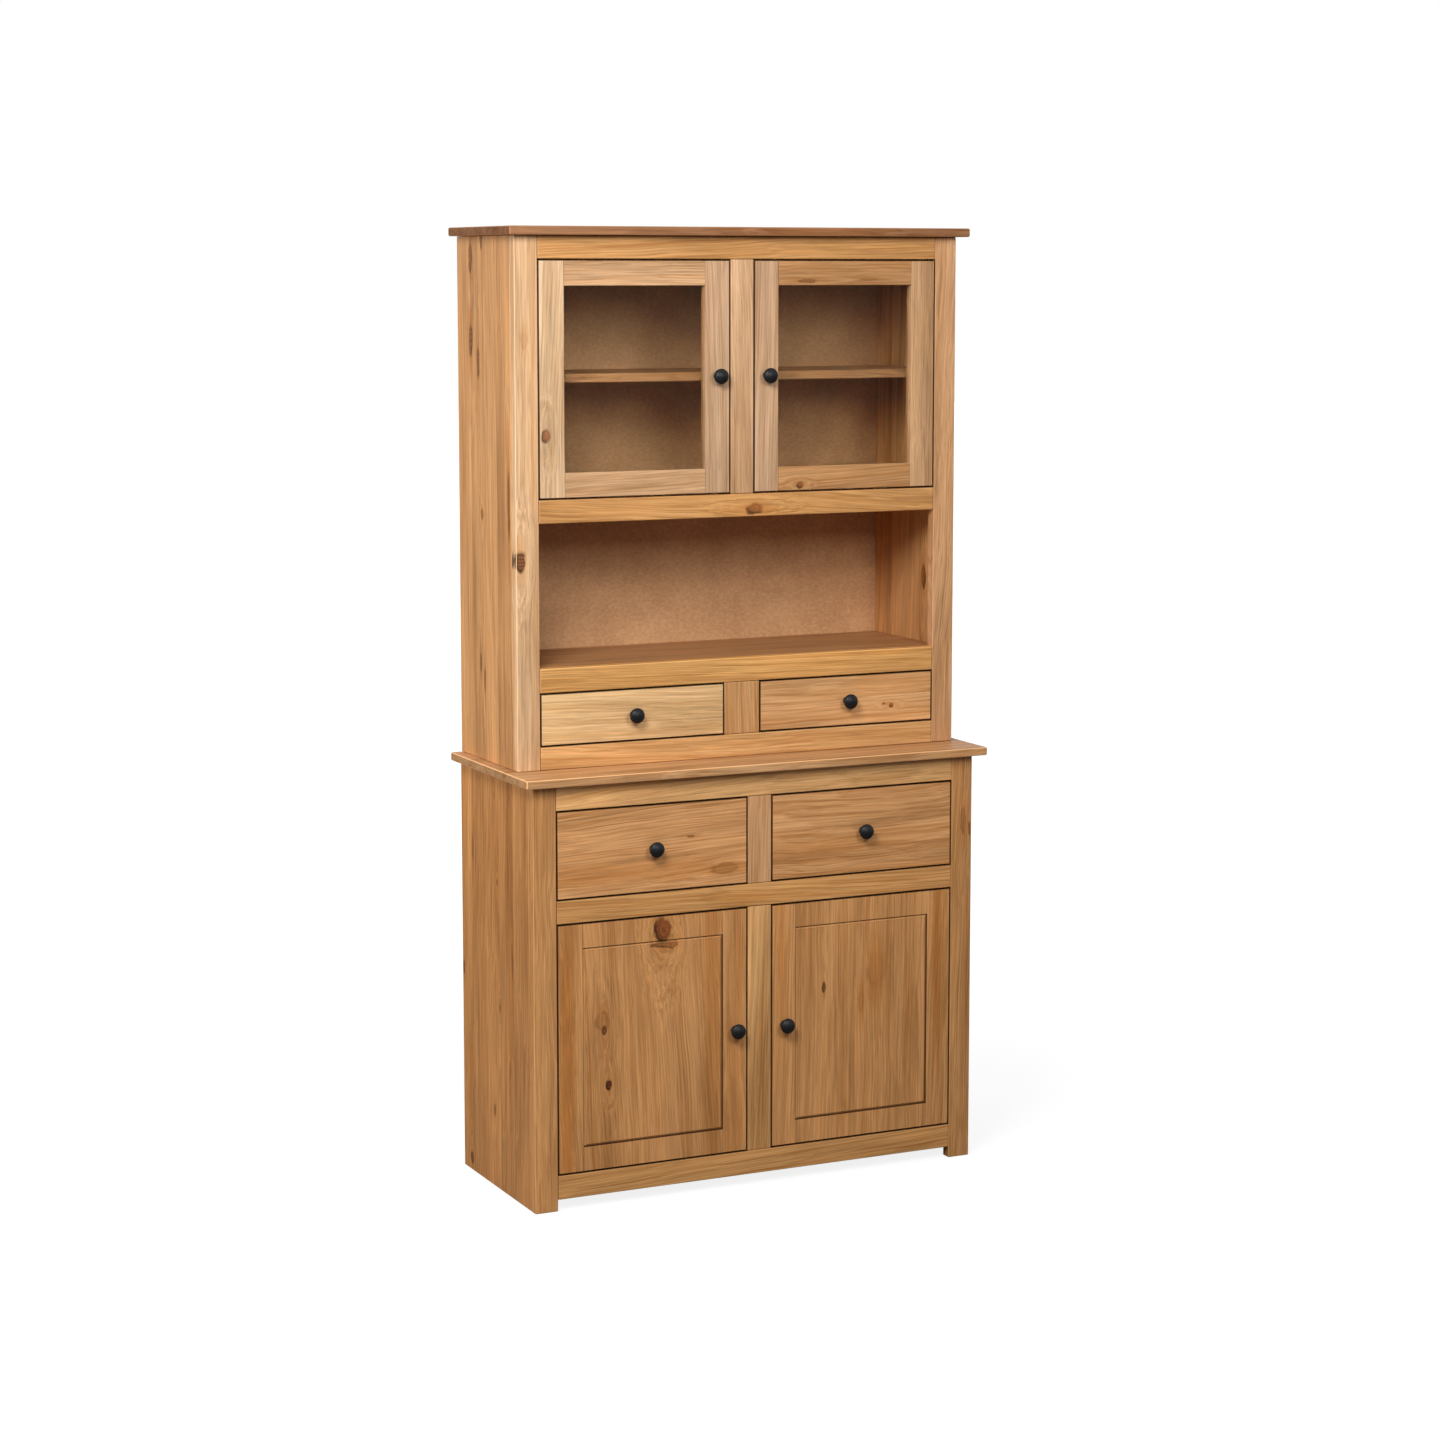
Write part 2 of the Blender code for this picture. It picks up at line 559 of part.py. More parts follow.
def make_panel_door(shop, prefix, place, outline):
    """A door frame with a fielded panel in its groove."""
    hinge = hinge_empty(shop, prefix, place)
    groove_low = place.y.low + PANEL_LIP
    groove_y = Span(groove_low, groove_low + PANEL_TONGUE + 2 * SEAT)
    make_door_frame(shop, prefix, place, hinge, groove_y)
    reach = SEAT - REBATE
    tongue_y = within(groove_y)
    panel = shop.board(f"{prefix}_panel", within(place.light_x, reach), tongue_y,
                       within(place.light_z, reach), PINE_DOOR, 0.0, hinge)
    field_y = Span(place.y.low + PANEL_FIELD_DROP, middle(tongue_y))
    shop.join(panel, "field", boxes=[(within(place.light_x, PANEL_MARGIN), field_y,
                                      within(place.light_z, PANEL_MARGIN))])
    make_knob(shop, f"{prefix}_knob", outline, place.knob, hinge)
    make_strike(shop, prefix, place, hinge)


def make_drawer(shop, prefix, place, outline):
    """A drawer: its front, an open box behind it, and a knob."""
    knob = (middle(place.x), place.y.low, middle(place.z))
    slide = shop.axis_empty(f"{prefix}_axis", knob)
    front = shop.board(f"{prefix}_front", place.x, place.y, place.z, PINE_DOOR, parent=slide)
    shop.cut(front, "knob_hole", rods=[knob_hole(knob)])
    box = shop.board(f"{prefix}_box", place.box_x, place.box_y, place.box_z, PINE_INNER, 0.0, slide)
    inner_x = within(place.box_x, DRAWER_SIDE)
    inner_y = Span(place.box_y.low - SEAT, place.box_y.high - DRAWER_SIDE)
    bottom_low = place.box_z.low + DRAWER_BOTTOM_LIFT
    bottom_high = bottom_low + DRAWER_BOTTOM
    top = place.box_z.high
    shop.cut(box, "inside", boxes=[(inner_x, inner_y, Span(bottom_high, top + DRAWER_BACK_DROP))])
    shop.cut(box, "underside", boxes=[(inner_x, inner_y, Span(place.box_z.low - SEAT, bottom_low))])
    back_y = Span(inner_y.high - SEAT, place.box_y.high + SEAT)
    shop.cut(box, "back_top", boxes=[(inner_x, back_y, Span(top - DRAWER_BACK_DROP, top + SEAT))])
    make_knob(shop, f"{prefix}_knob", outline, knob, slide)


def main():
    """Clears the scene and builds the sideboard."""
    for old in list(bpy.data.objects):
        bpy.data.objects.remove(old, do_unlink=True)
    shop = Workshop()
    outline = make_knob_mesh()
    base_doors = []
    glazed_doors = []
    for side, word in SIDES:
        base_door = DoorPlace(BASE, side, BASE_CENTRE_STILE / 2, BASE_DOOR_Z)
        make_panel_door(shop, f"base_{word}_door", base_door, outline)
        base_doors.append(base_door)
        glazed_door = DoorPlace(HUTCH, side, HUTCH_DOOR_CENTRE_STILE / 2, GLAZED_Z)
        make_glazed_door(shop, f"glazed_{word}_door", glazed_door, outline)
        glazed_doors.append(glazed_door)
        base_drawer = DrawerPlace(BASE, side, BASE_CENTRE_STILE / 2, BASE_DRAWER_Z)
        make_drawer(shop, f"base_{word}_drawer", base_drawer, outline)
        hutch_drawer = DrawerPlace(HUTCH, side, HUTCH_DRAWER_CENTRE_STILE / 2, HUTCH_DRAWER_Z)
        make_drawer(shop, f"hutch_{word}_drawer", hutch_drawer, outline)
    make_base(shop, base_doors)
    make_hutch(shop, glazed_doors)


main()
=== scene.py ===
"""Looks of a pine sideboard with a glazed hutch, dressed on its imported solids.

Units are metres, +Z up, and the front faces -Y. Every piece keeps its place in its mesh, and its
patterns read Object coordinates, so they stay on the wood when a door or a drawer moves.
"""

import logging
import math
from dataclasses import dataclass, replace
from enum import Enum
from typing import NamedTuple, Sequence

import bpy
import numpy as np
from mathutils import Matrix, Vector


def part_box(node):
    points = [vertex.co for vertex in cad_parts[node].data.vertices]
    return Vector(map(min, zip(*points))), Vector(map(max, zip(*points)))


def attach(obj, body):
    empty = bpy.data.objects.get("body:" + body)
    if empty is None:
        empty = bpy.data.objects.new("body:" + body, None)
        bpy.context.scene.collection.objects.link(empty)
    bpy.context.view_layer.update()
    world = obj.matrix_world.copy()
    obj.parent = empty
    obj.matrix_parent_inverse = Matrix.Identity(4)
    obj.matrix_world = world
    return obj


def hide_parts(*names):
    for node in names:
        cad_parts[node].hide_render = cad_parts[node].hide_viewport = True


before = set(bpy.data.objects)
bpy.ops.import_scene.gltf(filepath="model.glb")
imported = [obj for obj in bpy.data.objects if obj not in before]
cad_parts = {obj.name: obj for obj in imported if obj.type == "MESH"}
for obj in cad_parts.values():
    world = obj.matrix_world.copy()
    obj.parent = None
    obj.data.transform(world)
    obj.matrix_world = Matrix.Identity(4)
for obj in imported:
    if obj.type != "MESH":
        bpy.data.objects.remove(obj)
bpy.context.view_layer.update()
LOG = logging.getLogger("sideboard")

Triple = tuple[float, float, float]
Material = bpy.types.Material
ORIGIN: Triple = (0.0, 0.0, 0.0)
WHITE = (1.0, 1.0, 1.0, 1.0)

WELD = 1e-6             # points nearer than this become one
TINY = 1e-15            # keeps a division off zero
STICK_GAP = 0.00012     # gap at each joint of a door frame's sticks
PIN_PROUD = 0.015       # length of a door pin outside its frame
TOUCH = 0.001           # boards nearer than this border on an opening
FAR = 1.0               # beyond the ends of every board
WIDE_HALF = 0.05        # half width from which a board has its pith behind it
SIDES = (-1, 1)
TOP_TREE = 18           # tree, edge radius and stave width of the top boards
TOP_EDGE = 0.003
TOP_STAVE = 0.09
SHELF_EDGE = 0.0015     # edge radius and stave width of the shelves
SHELF_STAVE = 0.08


# Shapes


class Span(NamedTuple):
    """A stretch of one axis."""

    low: float
    high: float

    @property
    def middle(self) -> float:
        """The middle of the stretch."""
        return (self.low + self.high) / 2

    @property
    def half(self) -> float:
        """Half the length of the stretch."""
        return (self.high - self.low) / 2

    def inset(self, gap: float) -> "Span":
        """The stretch pulled in by gap at both ends."""
        return Span(self.low + gap, self.high - gap)

    def first(self, length: float) -> "Span":
        """The first part of the stretch."""
        return Span(self.low, self.low + length)

    def last(self, length: float) -> "Span":
        """The last part of the stretch."""
        return Span(self.high - length, self.high)


@dataclass(frozen=True)
class Box:
    """A box between three spans."""

    x: Span
    y: Span
    z: Span

    @classmethod
    def of_node(cls, node: str) -> "Box":
        """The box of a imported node."""
        return cls(*map(Span, *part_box(node)))

    def borders(self, x: Span, z: Span, reach: float) -> bool:
        """True if the box comes within reach of a rectangle in the X-Z plane."""
        return (self.x.low < x.high + reach and self.x.high > x.low - reach
                and self.z.low < z.high + reach and self.z.high > z.low - reach)


@dataclass
class Surface:
    """Points, four-cornered faces and one normal for each corner of each face."""

    points: np.ndarray
    faces: np.ndarray
    normals: np.ndarray

    @classmethod
    def of_grid(cls, points: np.ndarray, normals: np.ndarray | None = None,
                close_rows: bool = False) -> "Surface":
        """The surface over a grid of points whose columns close on themselves.

        Args:
            points: Grid of rows by columns by three.
            normals: One normal for each grid point, or None for flat faces.
            close_rows: True if the last row joins the first.

        Returns:
            Faces that point outwards where the columns turn left round the row direction.
        """
        rows, columns = points.shape[:2]
        row = np.arange(rows if close_rows else rows - 1)[:, None]
        here = np.arange(columns)
        start, end, after = row * columns, (row + 1) % rows * columns, (here + 1) % columns
        faces = np.stack([start + here, start + after, end + after, end + here], axis=-1)
        faces, points = faces.reshape(-1, 4), points.reshape(-1, 3)
        if normals is not None:
            return cls(points, faces, normals.reshape(-1, 3)[faces])
        edges = points[faces]
        flat = np.cross(edges[:, 2] - edges[:, 0], edges[:, 3] - edges[:, 1])
        flat /= np.maximum(np.linalg.norm(flat, axis=1, keepdims=True), TINY)
        return cls(points, faces, np.repeat(flat[:, None, :], 4, axis=1))

    @classmethod
    def joined(cls, parts: Sequence["Surface"]) -> "Surface":
        """Several surfaces as one."""
        starts = np.cumsum([0] + [len(part.points) for part in parts[:-1]])
        return cls(np.concatenate([part.points for part in parts]),
                   np.concatenate([part.faces + start for part, start in zip(parts, starts)]),
                   np.concatenate([part.normals for part in parts]))

    def with_faces(self, corners: Sequence[Sequence[int]], normals: Sequence[Triple]) -> "Surface":
        """The surface with flat faces added between points that it has."""
        flat = np.repeat(np.array(normals, float)[:, None, :], 4, axis=1)
        return Surface(self.points, np.concatenate([self.faces, np.array(corners)]),
                       np.concatenate([self.normals, flat]))

    def to_object(self, name: str) -> bpy.types.Object:
        """Makes the mesh object, with coincident points merged and collapsed corners dropped."""
        keys = np.round(self.points / WELD).astype(np.int64)
        _, first, back = np.unique(keys, axis=0, return_index=True, return_inverse=True)
        faces = back.reshape(-1)[self.faces]
        kept = faces != np.roll(faces, -1, axis=1)
        whole = kept.sum(axis=1) >= 3
        kept, faces, normals = kept[whole], faces[whole], self.normals[whole]
        counts = kept.sum(axis=1)
        mesh = bpy.data.meshes.new(name)
        mesh.vertices.add(len(first))
        mesh.vertices.foreach_set("co", self.points[first].astype(np.float32).ravel())
        mesh.loops.add(int(counts.sum()))
        mesh.loops.foreach_set("vertex_index", faces[kept].astype(np.int32))
        mesh.polygons.add(len(faces))
        mesh.polygons.foreach_set("loop_start", (np.cumsum(counts) - counts).astype(np.int32))
        mesh.polygons.foreach_set("use_smooth", np.ones(len(faces), bool))
        mesh.update(calc_edges=True)
        mesh.validate()
        mesh.normals_split_custom_set(normals[kept].tolist())
        made = bpy.data.objects.new(name, mesh)
        bpy.context.scene.collection.objects.link(made)
        return made


def rounded_board(box: Box, radius: float, steps: int = 4) -> Surface:
    """A board with all its edges rounded.

    Each point is a corner of the box shrunk by the radius, plus the radius times the unit vector
    at longitude t and latitude f: (cos f cos t, cos f sin t, sin f). Longitudes run round the four
    upright edges, and latitudes run over the lower edges and then over the upper ones.

    Args:
        box: The board's outline.
        radius: Radius of its edges.
        steps: Faces round each edge.

    Returns:
        The closed surface.
    """
    x, y, z = (span.inset(radius) for span in (box.x, box.y, box.z))
    quarter = np.linspace(0.0, math.pi / 2, steps + 1)
    turn = (np.arange(4)[:, None] * math.pi / 2 + quarter).ravel()
    rise = np.concatenate([quarter - math.pi / 2, quarter])[:, None]
    normals = np.stack(np.broadcast_arrays(np.cos(rise) * np.cos(turn), np.cos(rise) * np.sin(turn),
                                           np.sin(rise)), axis=-1)
    centres = np.stack(np.broadcast_arrays(np.repeat([x.high, x.low, x.low, x.high], steps + 1),
                                           np.repeat([y.high, y.high, y.low, y.low], steps + 1),
                                           np.repeat([z.low, z.high], steps + 1)[:, None]), axis=-1)
    grid = Surface.of_grid(centres + radius * normals, normals)
    low = [index * (steps + 1) for index in range(4)]
    high = [index + (len(rise) - 1) * len(turn) for index in low]
    return grid.with_faces([low[::-1], high], [(0, 0, -1), (0, 0, 1)])


def arc(x: float, y: float, across: float, up: float, start: int, steps: int = 4) -> np.ndarray:
    """A quarter of an ellipse: rows of x + across cos t and y + up sin t.

    The turn t starts at start right angles.
    """
    turn = np.linspace(start, start + 1, steps + 1) * math.pi / 2
    return np.stack([x + across * np.cos(turn), y + up * np.sin(turn)], axis=1)


def turned(profile: np.ndarray, centre: Sequence[float], axis: int, segments: int) -> Surface:
    """A profile turned about a line along one axis.

    The point at turn t is centre + radius (cos t, sin t) across the axis and height along it. The
    profile runs from the tip down its outside, or from its foot up if its heights grow.

    Args:
        profile: Rows of radius and height, both ends on the axis.
        centre: Point on the axis at height 0.
        axis: 0, 1 or 2 for the axis that heights run along.
        segments: Faces round the turn.

    Returns:
        The closed surface, with soft normals along the profile.
    """
    profile = profile if profile[0, 1] < profile[-1, 1] else profile[::-1]
    angles = np.arange(segments) * 2 * math.pi / segments
    slope = np.gradient(profile, axis=0)
    slope /= np.maximum(np.linalg.norm(slope, axis=1, keepdims=True), TINY)
    circle = np.stack([np.cos(angles), np.sin(angles)], axis=-1)
    across = [(axis + 1) % 3, (axis + 2) % 3]
    points = np.empty((len(profile), segments, 3))
    normals = np.empty_like(points)
    points[..., across] = profile[:, None, :1] * circle
    points[..., axis] = profile[:, 1:]
    normals[..., across] = slope[:, None, 1:] * circle
    normals[..., axis] = -slope[:, :1]
    return Surface.of_grid(points + np.array(centre, float), normals)


def mitred(x: Span, z: Span, profile: np.ndarray, caps: bool) -> Surface:
    """A profile carried round a rectangle in the X-Z plane, with mitred corners.

    A profile point (inset, y) gives the rectangle pulled in by inset, at depth y.

    Args:
        x: The rectangle's width.
        z: The rectangle's height.
        profile: Rows of inset and depth, closed on itself unless there are caps.
        caps: True if the first row is closed by a front face and the last by a back face.

    Returns:
        The closed surface, with flat faces.
    """
    inset, depth = profile[:, 0], profile[:, 1]
    west, east, low, high = x.low + inset, x.high - inset, z.low + inset, z.high - inset
    points = np.stack([np.stack([west, east, east, west], axis=1),
                       np.repeat(depth[:, None], 4, axis=1),
                       np.stack([low, low, high, high], axis=1)], axis=-1)
    grid = Surface.of_grid(points, close_rows=not caps)
    if not caps:
        return grid
    last = 4 * (len(profile) - 1)
    return grid.with_faces([[0, 1, 2, 3], [last + 3, last + 2, last + 1, last]],
                           [(0, -1, 0), (0, 1, 0)])


def screw_head(centre: Sequence[float], radius: float, height: float) -> Surface:
    """A domed screw head with a cross recess, facing backwards along +Y.

    The height at radius r and turn t is the dome's, height (1 - (r / radius)^2)^0.5, less the
    recess where the point lies inside one of two crossed slots.

    Args:
        centre: Middle of the head's seat.
        radius: Radius of the head.
        height: Rise of the dome.

    Returns:
        The dome closed by its flat seat.
    """
    spokes, slot_half, slot_reach, slot_depth = 24, 0.13, 0.55, 0.55
    share = np.array([0.0, 0.12, 0.24, 0.36, 0.5, 0.62, 0.76, 0.9, 1.0])[:, None]
    angles = np.arange(spokes) * 2 * math.pi / spokes
    across, up = share * np.cos(angles), share * np.sin(angles)
    wide, tall = np.abs(across), np.abs(up)
    slot = ((wide < slot_half) & (tall < slot_reach)) | ((tall < slot_half) & (wide < slot_reach))
    dome = np.sqrt(np.clip(1.0 - share ** 2, 0.0, 1.0)) - slot_depth * slot
    points = np.zeros((len(share) + 1, spokes, 3))
    points[:-1] = np.stack([radius * up, height * dome, radius * across], axis=-1)
    grid = Surface.of_grid(points[::-1])
    grid.points = grid.points + np.array(centre, float)
    return grid


# Shaders


class Wire:
    """An output of a node. Plain arithmetic on it adds the nodes that work it out."""

    def __init__(self, w: "Wiring", socket: bpy.types.NodeSocket) -> None:
        """Holds one output in a tree."""
        self.w, self.socket = w, socket

    def __add__(self, other: "Feed") -> "Wire":
        """The sum."""
        return self.w.join("ADD", self, other)

    def __sub__(self, other: "Feed") -> "Wire":
        """The difference."""
        return self.w.join("SUBTRACT", self, other)

    def __rsub__(self, other: "Feed") -> "Wire":
        """The difference, with the output taken away."""
        return self.w.join("SUBTRACT", other, self)

    def __mul__(self, other: "Feed") -> "Wire":
        """The product, part by part for two vectors."""
        return self.w.join("MULTIPLY", self, other)

    def __truediv__(self, other: "Feed") -> "Wire":
        """The quotient."""
        return self.w.join("DIVIDE", self, other)


Feed = float | tuple | Wire


class Wiring:
    """Adds nodes to a shader tree and feeds them."""

    def __init__(self, tree: bpy.types.NodeTree) -> None:
        """Works on one tree."""
        self.tree = tree

    def node(self, kind: str, feeds: dict | None = None, **options: object) -> bpy.types.Node:
        """Adds a node.

        Args:
            kind: The node's type, without its ShaderNode prefix.
            feeds: Values or outputs for its inputs, by name or index.
            **options: Settings of the node itself.

        Returns:
            The node.
        """
        node = self.tree.nodes.new("ShaderNode" + kind)
        for option, value in options.items():
            setattr(node, option, value)
        for title, value in (feeds or {}).items():
            self.feed(node.inputs[title], value)
        return node

    def add(self, kind: str, feeds: dict | None = None, output: int | str = 0,
            **options: object) -> Wire:
        """Adds a node, and gives one of its outputs."""
        return Wire(self, self.node(kind, feeds, **options).outputs[output])

    def outs(self, kind: str, feeds: dict | None = None, **options: object) -> dict[str, Wire]:
        """Adds a node, and gives its outputs by name."""
        return {out.name: Wire(self, out) for out in self.node(kind, feeds, **options).outputs}

    def feed(self, target: bpy.types.NodeSocket, value: Feed) -> None:
        """Links an output to an input, or sets its value."""
        if isinstance(value, Wire):
            self.tree.links.new(value.socket, target)
        else:
            target.default_value = value

    def join(self, operation: str, first: Feed, second: Feed) -> Wire:
        """One operation on two numbers or two vectors, or a vector scaled by a number."""
        wide = [part.socket.type != "VALUE" if isinstance(part, Wire) else isinstance(part, tuple)
                for part in (first, second)]
        if wide == [True, False]:
            return self.add("VectorMath", {0: first, "Scale": second}, operation="SCALE")
        return self.add("VectorMath" if wide[0] else "Math", {0: first, 1: second},
                        operation=operation)

    def math(self, operation: str, *parts: Feed) -> Wire:
        """One operation on numbers."""
        return self.add("Math", dict(enumerate(parts)), operation=operation)

    def most(self, first: Feed, second: Feed | None) -> Feed:
        """The larger of two numbers, or the first where there is no second."""
        return first if second is None else self.math("MAXIMUM", first, second)

    def length(self, vector: Feed) -> Wire:
        """The length of a vector."""
        return self.add("VectorMath", {0: vector}, "Value", operation="LENGTH")

    def rise(self, value: Feed, start: Feed, end: Feed) -> Wire:
        """A smooth step from 0 at start to 1 at end."""
        return self.add("MapRange", {"Value": value, "From Min": start, "From Max": end},
                        interpolation_type="SMOOTHSTEP")

    def fall(self, value: Feed, start: Feed, end: Feed) -> Wire:
        """A smooth step from 1 at start to 0 at end."""
        return 1.0 - self.rise(value, start, end)

    def ease(self, value: Feed, low: Feed, high: Feed) -> Wire:
        """A share from 0 to 1 turned into a number from low to high."""
        return self.add("MapRange", {"Value": value, "To Min": low, "To Max": high})

    def mix(self, share: Feed, first: Feed, second: Feed) -> Wire:
        """Two colours mixed by a share."""
        return self.add("Mix", {0: share, 6: first, 7: second}, 2, data_type="RGBA")

    def noise(self, vector: Feed, scale: float, detail: float = 2.0, roughness: float = 0.5,
              output: int | str = 0) -> Wire:
        """Noise over a vector."""
        return self.add("TexNoise", {"Vector": vector, "Scale": scale, "Detail": detail,
                                     "Roughness": roughness}, output)

    def dice(self, number: Feed) -> dict[str, Wire]:
        """A random Value and a random Color for each whole number."""
        return self.outs("TexWhiteNoise", {"W": self.math("FLOOR", number)}, noise_dimensions="1D")

    def split(self, vector: Feed) -> list[Wire]:
        """The three parts of a vector."""
        return list(self.outs("SeparateXYZ", {0: vector}).values())

    def combine(self, x: Feed, y: Feed, z: Feed) -> Wire:
        """A vector of three numbers."""
        return self.add("CombineXYZ", {0: x, 1: y, 2: z})

    def bump(self, height: Feed, strength: float, distance: float = 0.0004) -> Wire:
        """The normal bent by a height."""
        return self.add("Bump", {"Height": height, "Strength": strength, "Distance": distance})

    def use(self, group: bpy.types.NodeTree, **feeds: Feed) -> dict[str, Wire]:
        """Places a node group, and gives its outputs by name."""
        return self.outs("Group", feeds, node_tree=group)


class Shader(Wiring):
    """The tree of a new material, round its Principled shader."""

    def __init__(self, name: str) -> None:
        """Opens the material."""
        self.material = bpy.data.materials.new(name)
        self.material.use_nodes = True
        super().__init__(self.material.node_tree)

    def give(self, values: dict[str, Feed]) -> Material:
        """Feeds the Principled shader's inputs, and gives the material."""
        for title, value in values.items():
            self.feed(self.tree.nodes["Principled BSDF"].inputs[title], value)
        return self.material


class Group(Wiring):
    """A new shader node group with named inputs and outputs."""

    KINDS = {float: "Float", tuple: "Vector", list: "Color",
             "VALUE": "Float", "VECTOR": "Vector", "RGBA": "Color"}

    def __init__(self, name: str, **inputs: float | tuple | list) -> None:
        """Opens the group. A tuple is a vector input and a list is a colour input."""
        super().__init__(bpy.data.node_groups.new(name, "ShaderNodeTree"))
        for title, value in inputs.items():
            self.port(title, "INPUT", type(value)).default_value = value
        self.starts = self.tree.nodes.new("NodeGroupInput")

    def port(self, title: str, way: str, kind: type | str) -> bpy.types.NodeTreeInterfaceSocket:
        """Adds an input or an output to the group."""
        return self.tree.interface.new_socket(name=title, in_out=way,
                                              socket_type="NodeSocket" + self.KINDS[kind])

    def __getitem__(self, title: str) -> Wire:
        """One of the group's inputs, as seen from inside."""
        return Wire(self, self.starts.outputs[title])

    def give(self, **values: Wire) -> bpy.types.NodeTree:
        """Adds the group's outputs, feeds them and gives the group."""
        for title, value in values.items():
            self.port(title, "OUTPUT", value.socket.type)
        ends = self.tree.nodes.new("NodeGroupOutput")
        for title, value in values.items():
            self.feed(ends.inputs[title], value)
        return self.tree


class Grain:
    """The shader groups that pine is made of, built once."""

    def __init__(self) -> None:
        """Builds the groups."""
        self.growth = self.make_growth()
        self.knot = self.make_knot()
        self.staves = self.make_staves()
        self.faces = self.make_faces()
        self.gap = self.make_gap()
        self.colour = self.make_colour()

    @staticmethod
    def make_growth() -> bpy.types.NodeTree:
        """Growth rings round a pith along the third axis, with bands, fibres, streaks and tone.

        The ring number is the distance from the pith, bent by slow noise, over the ring width. Late
        wood is the last part of each ring, and a band is the last part of every fifth ring or so.
        """
        w = Group("pine_growth", Vector=ORIGIN, Ring=0.004, Wander=0.01, Lean=0.0)
        across, depth, along = w.split(w["Vector"])
        leant = w.combine(across - along * w["Lean"], depth, along)
        slow = w.noise(leant * (9.0, 9.0, 2.4), 1.0, 3.0, output="Color") - (0.5, 0.5, 0.5)
        bent = leant + slow * (2.0, 2.0, 0.0) * w["Wander"]
        fibre = w.noise(bent * (380.0, 380.0, 8.0), 1.0, 3.0, 0.6)
        line = w.noise(bent * (210.0, 210.0, 2.2), 1.0, 2.0, 0.6)
        streak = w.noise(bent * (85.0, 85.0, 1.7), 1.0, 3.0, 0.55)
        tone = w.noise(bent * (22.0, 22.0, 1.9), 1.0, 2.0)
        radius = w.length(bent * (1.0, 1.0, 0.0))
        rings = radius / w["Ring"]
        swell = w.add("TexNoise", {"W": radius * 60.0, "Scale": 1.0, "Detail": 1.0},
                      noise_dimensions="1D")
        late = Grain.last_part(w, swell * 2.5 + rings + fibre * 0.3, 0.25, 0.35)
        band = Grain.last_part(w, rings * 0.21 + tone, 0.3, 0.0)
        return w.give(Late=late, Band=band, Fibre=fibre, Line=line, Streak=streak, Tone=tone)

    @staticmethod
    def last_part(w: Wiring, number: Wire, start: float, least: float) -> Wire:
        """The last part of each ring, which swells from start and ends sharply.

        Each ring's strength is a random one from least to 1.
        """
        share = w.math("FRACT", number)
        late = w.rise(share, start, 0.88) * w.fall(share, 0.9, 1.0)
        return late * w.ease(w.dice(number)["Value"], least, 1.0)

    @staticmethod
    def make_knot() -> bpy.types.NodeTree:
        """A knot through the board, or a stain of resin where its heart is 0.

        An oval with a ragged edge, rings inside it, a dark crescent on one side, a resin flame that
        runs on along the grain, and the grain bent round it.
        """
        w = Group("pine_knot", Vector=ORIGIN, Across=0.0, Along=0.0, Radius=0.006, Stretch=1.5,
                  Heart=0.9, Flame=0.5)
        radius, heart = w["Radius"], w["Heart"]
        across, depth, along = w.split(w["Vector"])
        ragged = w.noise(w["Vector"] * (1.0, 1.0, 0.6), 90.0, output="Color")
        wobble = [(part - 0.5) * (radius * 1.1) for part in w.split(ragged)]
        off_across = across - w["Across"]
        share_across = (off_across + wobble[0]) / radius
        share_along = (along - w["Along"] + wobble[1]) / (radius * w["Stretch"])
        reach = w.length(w.combine(share_across, share_along, 0.0))
        flame = w.length(w.combine(share_across, share_along * 0.5, 0.0))
        near = w.fall(flame, 0.5, 4.0) * heart
        bent = w.combine(across - near * 0.75 * off_across, depth - near * 1.8 * radius, along)
        low_side = share_along * -0.5 - share_across
        wave = w.math("SINE", low_side * 1.5 + reach * 13.0)
        rings = w.rise(wave, 0.1, 1.0) * 0.45 + w.rise(low_side, -0.9, 1.0) * 0.55
        rim = w.rise(reach, 0.62, 0.95) * w.fall(reach, 1.05, 1.3) * heart
        return w.give(Vector=bent, Core=w.fall(reach, 0.86, 1.08) * heart, Rings=rings,
                      Rim=rim * (w.rise(low_side, -0.3, 0.7) * 0.7 + 0.3),
                      Halo=w.fall(flame, 0.5, 1.9) * w["Flame"])

    @staticmethod
    def make_staves() -> bpy.types.NodeTree:
        """Glued staves side by side, each from its own tree: shifted grain, a tone and a joint."""
        w = Group("glued_staves", Vector=ORIGIN, Place=0.0, Width=0.07)
        number = w["Place"] / w["Width"]
        tree = w.dice(number)
        shift = (tree["Color"] - (0.5, 0.5, 0.5)) * (0.14, 0.08, 9.0)
        side = w.math("PINGPONG", number, 0.5) * w["Width"]
        return w.give(Vector=w["Vector"] + shift, Stave=tree["Value"] - 0.5,
                      Joint=w.fall(side, 0.0001, 0.0007))

    @staticmethod
    def make_faces() -> bpy.types.NodeTree:
        """Masks of a board's end grain and of its rounded edges, from its normal in board axes."""
        w = Group("board_faces", Normal=(0.0, 0.0, 1.0))
        across, depth, along = (w.math("ABSOLUTE", part) for part in w.split(w["Normal"]))
        most = w.most(w.most(across, depth), along)
        return w.give(End=w.rise(along, 0.6, 0.9), Edge=w.rise(1.0 - most, 0.03, 0.2))

